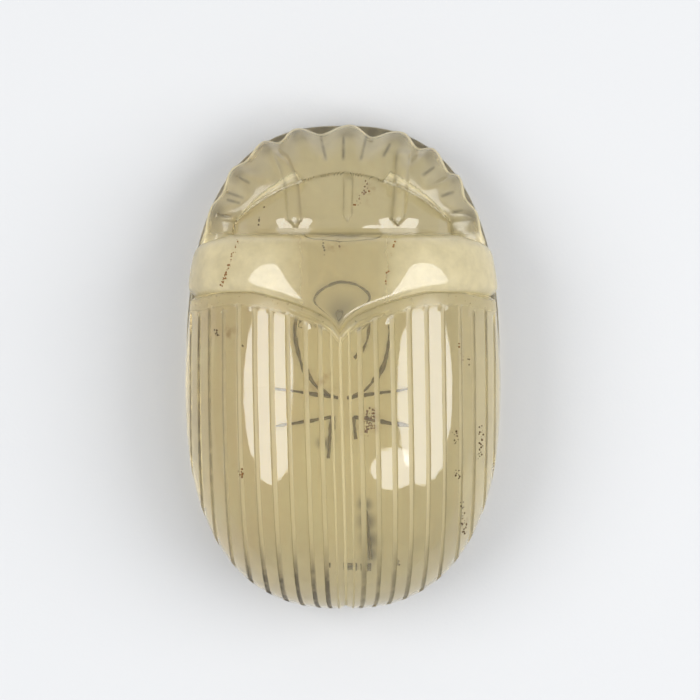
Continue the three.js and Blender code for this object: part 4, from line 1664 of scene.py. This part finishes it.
@dataclass(frozen=True)
class Flaws:
    """Grains of one colour, scattered over trails inside the stone."""

    name: str
    colour: Colour
    trails: tuple[Trail, ...]
    grain: float = 0.12
    per_square: float = 9.0
    seed: int = 3
    step: float = 0.3
    lowest: float = 0.5
    smallest: float = 0.2
    largest: float = 1.2

    def sheet(self, stone: bpy.types.Object) -> bpy.types.Object:
        """Make the sheets that carry the grains, under the stone's upper side.

        Args:
            stone: The stone that holds them.

        Returns:
            The sheets as one object.
        """
        rng = np.random.default_rng(self.seed)
        verts: list[tuple[float, float, float]] = []
        faces: list[tuple[int, int, int, int]] = []
        for trail in self.trails:
            knots = np.array(trail.path)
            lengths = np.concatenate([[0.0], np.cumsum(np.hypot(*np.diff(knots, axis=0).T))])
            count = max(3, round(float(lengths[-1]) / self.step) + 1)
            at = np.linspace(0.0, lengths[-1], count)
            middle = np.stack([np.interp(at, lengths, knots[:, k]) for k in (0, 1)], axis=1)
            along = np.gradient(middle, axis=0)
            side = np.stack([along[:, 1], -along[:, 0]], axis=1)
            side /= np.linalg.norm(side, axis=1, keepdims=True)
            middle = middle + side * rng.normal(0.0, 0.05 * trail.width, (count, 1))
            half = trail.width / 2.0 * rng.uniform(0.5, 1.0, (count, 1))
            for k, (place, reach) in enumerate(zip(middle, side * half)):
                for sign in (-1.0, 1.0):
                    px, py = place + sign * reach
                    depth = trail.depth + sign * trail.slant / 2.0
                    top = self.top(stone, float(px), float(py))
                    verts.append((float(px), float(py), max(self.lowest, top - depth)))
                if k:
                    n = len(verts)
                    faces.append((n - 4, n - 3, n - 1, n - 2))
        return Meshes.from_arrays(self.name, np.array(verts), faces)

    @staticmethod
    def top(stone: bpy.types.Object, x: float, y: float) -> float:
        """Find the stone's height at a place, in millimetres."""
        hit, place, _, _ = stone.ray_cast(Vector((x * MM, y * MM, 1.0)), Vector((0.0, 0.0, -1.0)))
        return place.z / MM if hit else 0.0

    def scatter(self) -> bpy.types.NodeTree:
        """Make the nodes that put grains on the sheets.

        Returns:
            The tree.
        """
        tree = bpy.data.node_groups.new(self.name, "GeometryNodeTree")
        face = tree.interface
        face.new_socket("Sheet", in_out="INPUT", socket_type="NodeSocketGeometry")
        kinds = {"Density": "Float", "Seed": "Int", "Grain": "Float", "Material": "Material"}
        for label, kind in kinds.items():
            face.new_socket(label, in_out="INPUT", socket_type=f"NodeSocket{kind}")
        face.new_socket("Grains", in_out="OUTPUT", socket_type="NodeSocketGeometry")
        new, link = tree.nodes.new, tree.links.new
        given, made = new("NodeGroupInput"), new("NodeGroupOutput")
        spread, ball = new("GeometryNodeDistributePointsOnFaces"), new("GeometryNodeMeshIcoSphere")
        size, place = new("FunctionNodeRandomValue"), new("GeometryNodeInstanceOnPoints")
        whole, paint = new("GeometryNodeRealizeInstances"), new("GeometryNodeSetMaterial")
        size.data_type = "FLOAT"
        size.inputs["Min"].default_value = self.smallest
        size.inputs["Max"].default_value = self.largest
        link(given.outputs["Sheet"], spread.inputs["Mesh"])
        link(given.outputs["Density"], spread.inputs["Density"])
        link(given.outputs["Seed"], spread.inputs["Seed"])
        link(given.outputs["Grain"], ball.inputs["Radius"])
        link(given.outputs["Seed"], size.inputs["Seed"])
        link(spread.outputs["Points"], place.inputs["Points"])
        link(ball.outputs["Mesh"], place.inputs["Instance"])
        link(size.outputs[1], place.inputs["Scale"])
        link(place.outputs["Instances"], whole.inputs["Geometry"])
        link(whole.outputs["Geometry"], paint.inputs["Geometry"])
        link(given.outputs["Material"], paint.inputs["Material"])
        link(paint.outputs["Geometry"], made.inputs["Grains"])
        return tree

    def build(self, stone: bpy.types.Object) -> bpy.types.Object:
        """Make the grains.

        Args:
            stone: The stone that holds them.

        Returns:
            The grains as one object.
        """
        piece = self.sheet(stone)
        tree = self.scatter()
        material = DirtAndShadeFinish(self.colour).build()
        values = {
            "Density": self.per_square / MM**2,
            "Seed": self.seed,
            "Grain": self.grain * MM,
            "Material": material,
        }
        modifier = piece.modifiers.new("grains", "NODES")
        modifier.node_group = tree
        for item in tree.interface.items_tree:
            if item.in_out == "INPUT" and item.name in values:
                modifier[item.identifier] = values[item.name]
        graph = bpy.context.evaluated_depsgraph_get()
        made = bpy.data.meshes.new_from_object(piece.evaluated_get(graph), depsgraph=graph)
        piece.modifiers.clear()
        spent, piece.data = piece.data, made
        bpy.data.meshes.remove(spent)
        Meshes.dress(piece, material)
        return piece


RUST = Flaws(
    "rust_grains",
    (0.24, 0.12, 0.045),
    (
        Trail(((-11.4, 13.8), (-11.9, 12.6), (-12.5, 10.9), (-13.3, 8.7)), 0.6, -0.01, 0.02),
        Trail(((-12.6, 10.6), (-13.3, 8.7)), 0.5, -0.02, 0.02),
        Trail(((5.7, 13.7), (5.15, 11.5), (4.5, 8.4)), 0.3, 0.0, 0.02),
        Trail(((2.85, 20.4), (2.35, 19.0), (1.4, 17.4)), 0.9, 0.15, 0.2),
        Trail(((2.9, -4.6), (2.7, -5.8), (2.3, -7.6)), 1.5, 1.0, 1.6),
        Trail(((3.4, -5.2), (3.3, -6.9)), 1.2, 1.6, 2.0),
        Trail(((12.8, 2.4), (12.9, 1.4), (13.2, 0.5)), 0.5, 0.1, 0.1),
        Trail(((-11.3, -11.2), (-10.9, -12.2)), 0.8, 0.1, 0.1),
        Trail(((-0.5, 13.6), (-0.3, 12.8)), 0.4, 0.7, 0.4),
    ),
)
UMBER = Flaws(
    "umber_grains",
    (0.10, 0.06, 0.03),
    (
        Trail(((13.7, 1.0), (13.9, 0.0)), 0.5, 0.0, 0.05),
        Trail(((12.2, -7.1), (12.5, -8.5)), 0.7, 0.0, 0.05),
        Trail(((15.1, -6.6), (15.2, -8.4), (14.9, -10.4)), 0.6, 0.0, 0.05),
        Trail(((13.0, -15.0), (13.3, -16.8), (13.5, -18.6)), 0.8, 0.0, 0.05),
        Trail(((-11.0, 2.4), (-11.0, 2.0)), 0.4, 0.0, 0.05),
        Trail(((-14.0, 4.3), (-13.6, 3.0)), 0.5, 0.1, 0.2),
        Trail(((-8.6, 17.7), (-9.1, 16.5), (-9.3, 15.3)), 0.16, 0.1, 0.1),
        Trail(((-2.2, 13.6), (-2.0, 11.6)), 0.3, 0.3, 0.3),
        Trail(((5.9, -21.0), (6.1, -22.0)), 0.25, 0.6, 0.3),
        Trail(((-10.6, -21.6), (-10.2, -22.2)), 0.2, 0.5, 0.3),
        Trail(((12.4, -11.3), (12.7, -12.4)), 0.7, 0.0, 0.05),
    ),
    seed=8,
)


@dataclass(frozen=True)
class SoftBox:
    """A round-cornered soft light, by its angles from straight up and its size, in degrees."""

    aside: float
    ahead: float
    width: float
    length: float
    distance: float = 0.62
    brightness: float = 4.5

    def build(self) -> None:
        """Hang the light."""
        data = bpy.data.lights.new("soft_box", "AREA")
        data.shape = "ELLIPSE"
        data.size = 2.0 * self.distance * math.tan(math.radians(self.width / 2.0))
        data.size_y = 2.0 * self.distance * math.tan(math.radians(self.length / 2.0))
        data.energy = self.brightness * math.pi * math.pi * data.size * data.size_y / 4.0
        box = bpy.data.objects.new("soft_box", data)
        aside, ahead = math.radians(self.aside), math.radians(self.ahead)
        level = math.cos(ahead)
        towards = Vector((math.sin(aside) * level, math.sin(ahead), math.cos(aside) * level))
        box.location = towards * self.distance
        box.rotation_euler = (-ahead, aside, 0.0)
        bpy.context.scene.collection.objects.link(box)


@dataclass(frozen=True)
class Studio:
    """Paper, soft boxes, soft room light, and the camera over the amulet. Lengths in metres."""

    frame_width: float = 0.0784
    camera_height: float = 0.62
    camera_x: float = 0.00078
    camera_y: float = 0.00168
    sensor: float = 36.0
    paper_size: float = 1.2
    paper_gap: float = 0.00005
    room: Colour = (0.96, 0.98, 1.0)
    room_strength: float = 0.66
    boxes: tuple[SoftBox, ...] = (
        SoftBox(-42.5, 0.0, 33.0, 48.0),
        SoftBox(49.0, 0.0, 38.0, 48.0),
        SoftBox(28.5, -20.0, 25.0, 13.0),
    )

    def camera(self) -> None:
        """Make the camera, looking straight down with the head at the top of the frame."""
        data = bpy.data.cameras.new("camera")
        data.sensor_width = self.sensor
        data.lens = self.sensor * self.camera_height / self.frame_width
        data.clip_start, data.clip_end = 0.01, 10.0
        camera = bpy.data.objects.new("camera", data)
        camera.location = (self.camera_x, self.camera_y, self.camera_height)
        bpy.context.scene.collection.objects.link(camera)
        bpy.context.scene.camera = camera

    def paper(self) -> None:
        """Lay the paper."""
        half = self.paper_size / 2.0 / MM
        z = -self.paper_gap / MM
        corners = np.array([[-half, -half, z], [half, -half, z], [half, half, z], [-half, half, z]])
        paper = Meshes.from_arrays("paper", corners, [(0, 1, 2, 3)])
        Meshes.dress(paper, PaperFinish().build())

    def light(self) -> None:
        """Hang the soft boxes, and light the room."""
        for box in self.boxes:
            box.build()
        world = bpy.data.worlds.new("room")
        world.use_nodes = True
        background = world.node_tree.nodes["Background"]
        background.inputs["Color"].default_value = rgba(self.room)
        background.inputs["Strength"].default_value = self.room_strength
        bpy.context.scene.world = world
        bpy.context.scene.view_settings.view_transform = "Standard"


def main() -> None:
    """Build the amulet and its setting."""
    logging.basicConfig(level=logging.INFO, format="%(name)s: %(message)s")
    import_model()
    studio = Studio()
    studio.camera()
    studio.paper()
    studio.light()
    scarab = Scarab(Outline())
    stone = scarab.build()
    scarab.declare(stone)
    # Dark bars of painted shade in the cross's strokes.
    cross_painted_shade = LoopedCross(scarab.plan).dirt_and_shade()
    scarab.declare(cross_painted_shade)
    for flaws in (RUST, UMBER):
        grains = flaws.build(stone)
        scarab.declare(grains)
        LOG.info("%s: %d triangles", grains.name, Meshes.triangles(grains))
    LOG.info("%s: %d triangles", stone.name, Meshes.triangles(stone))


if __name__ == "__main__":
    main()
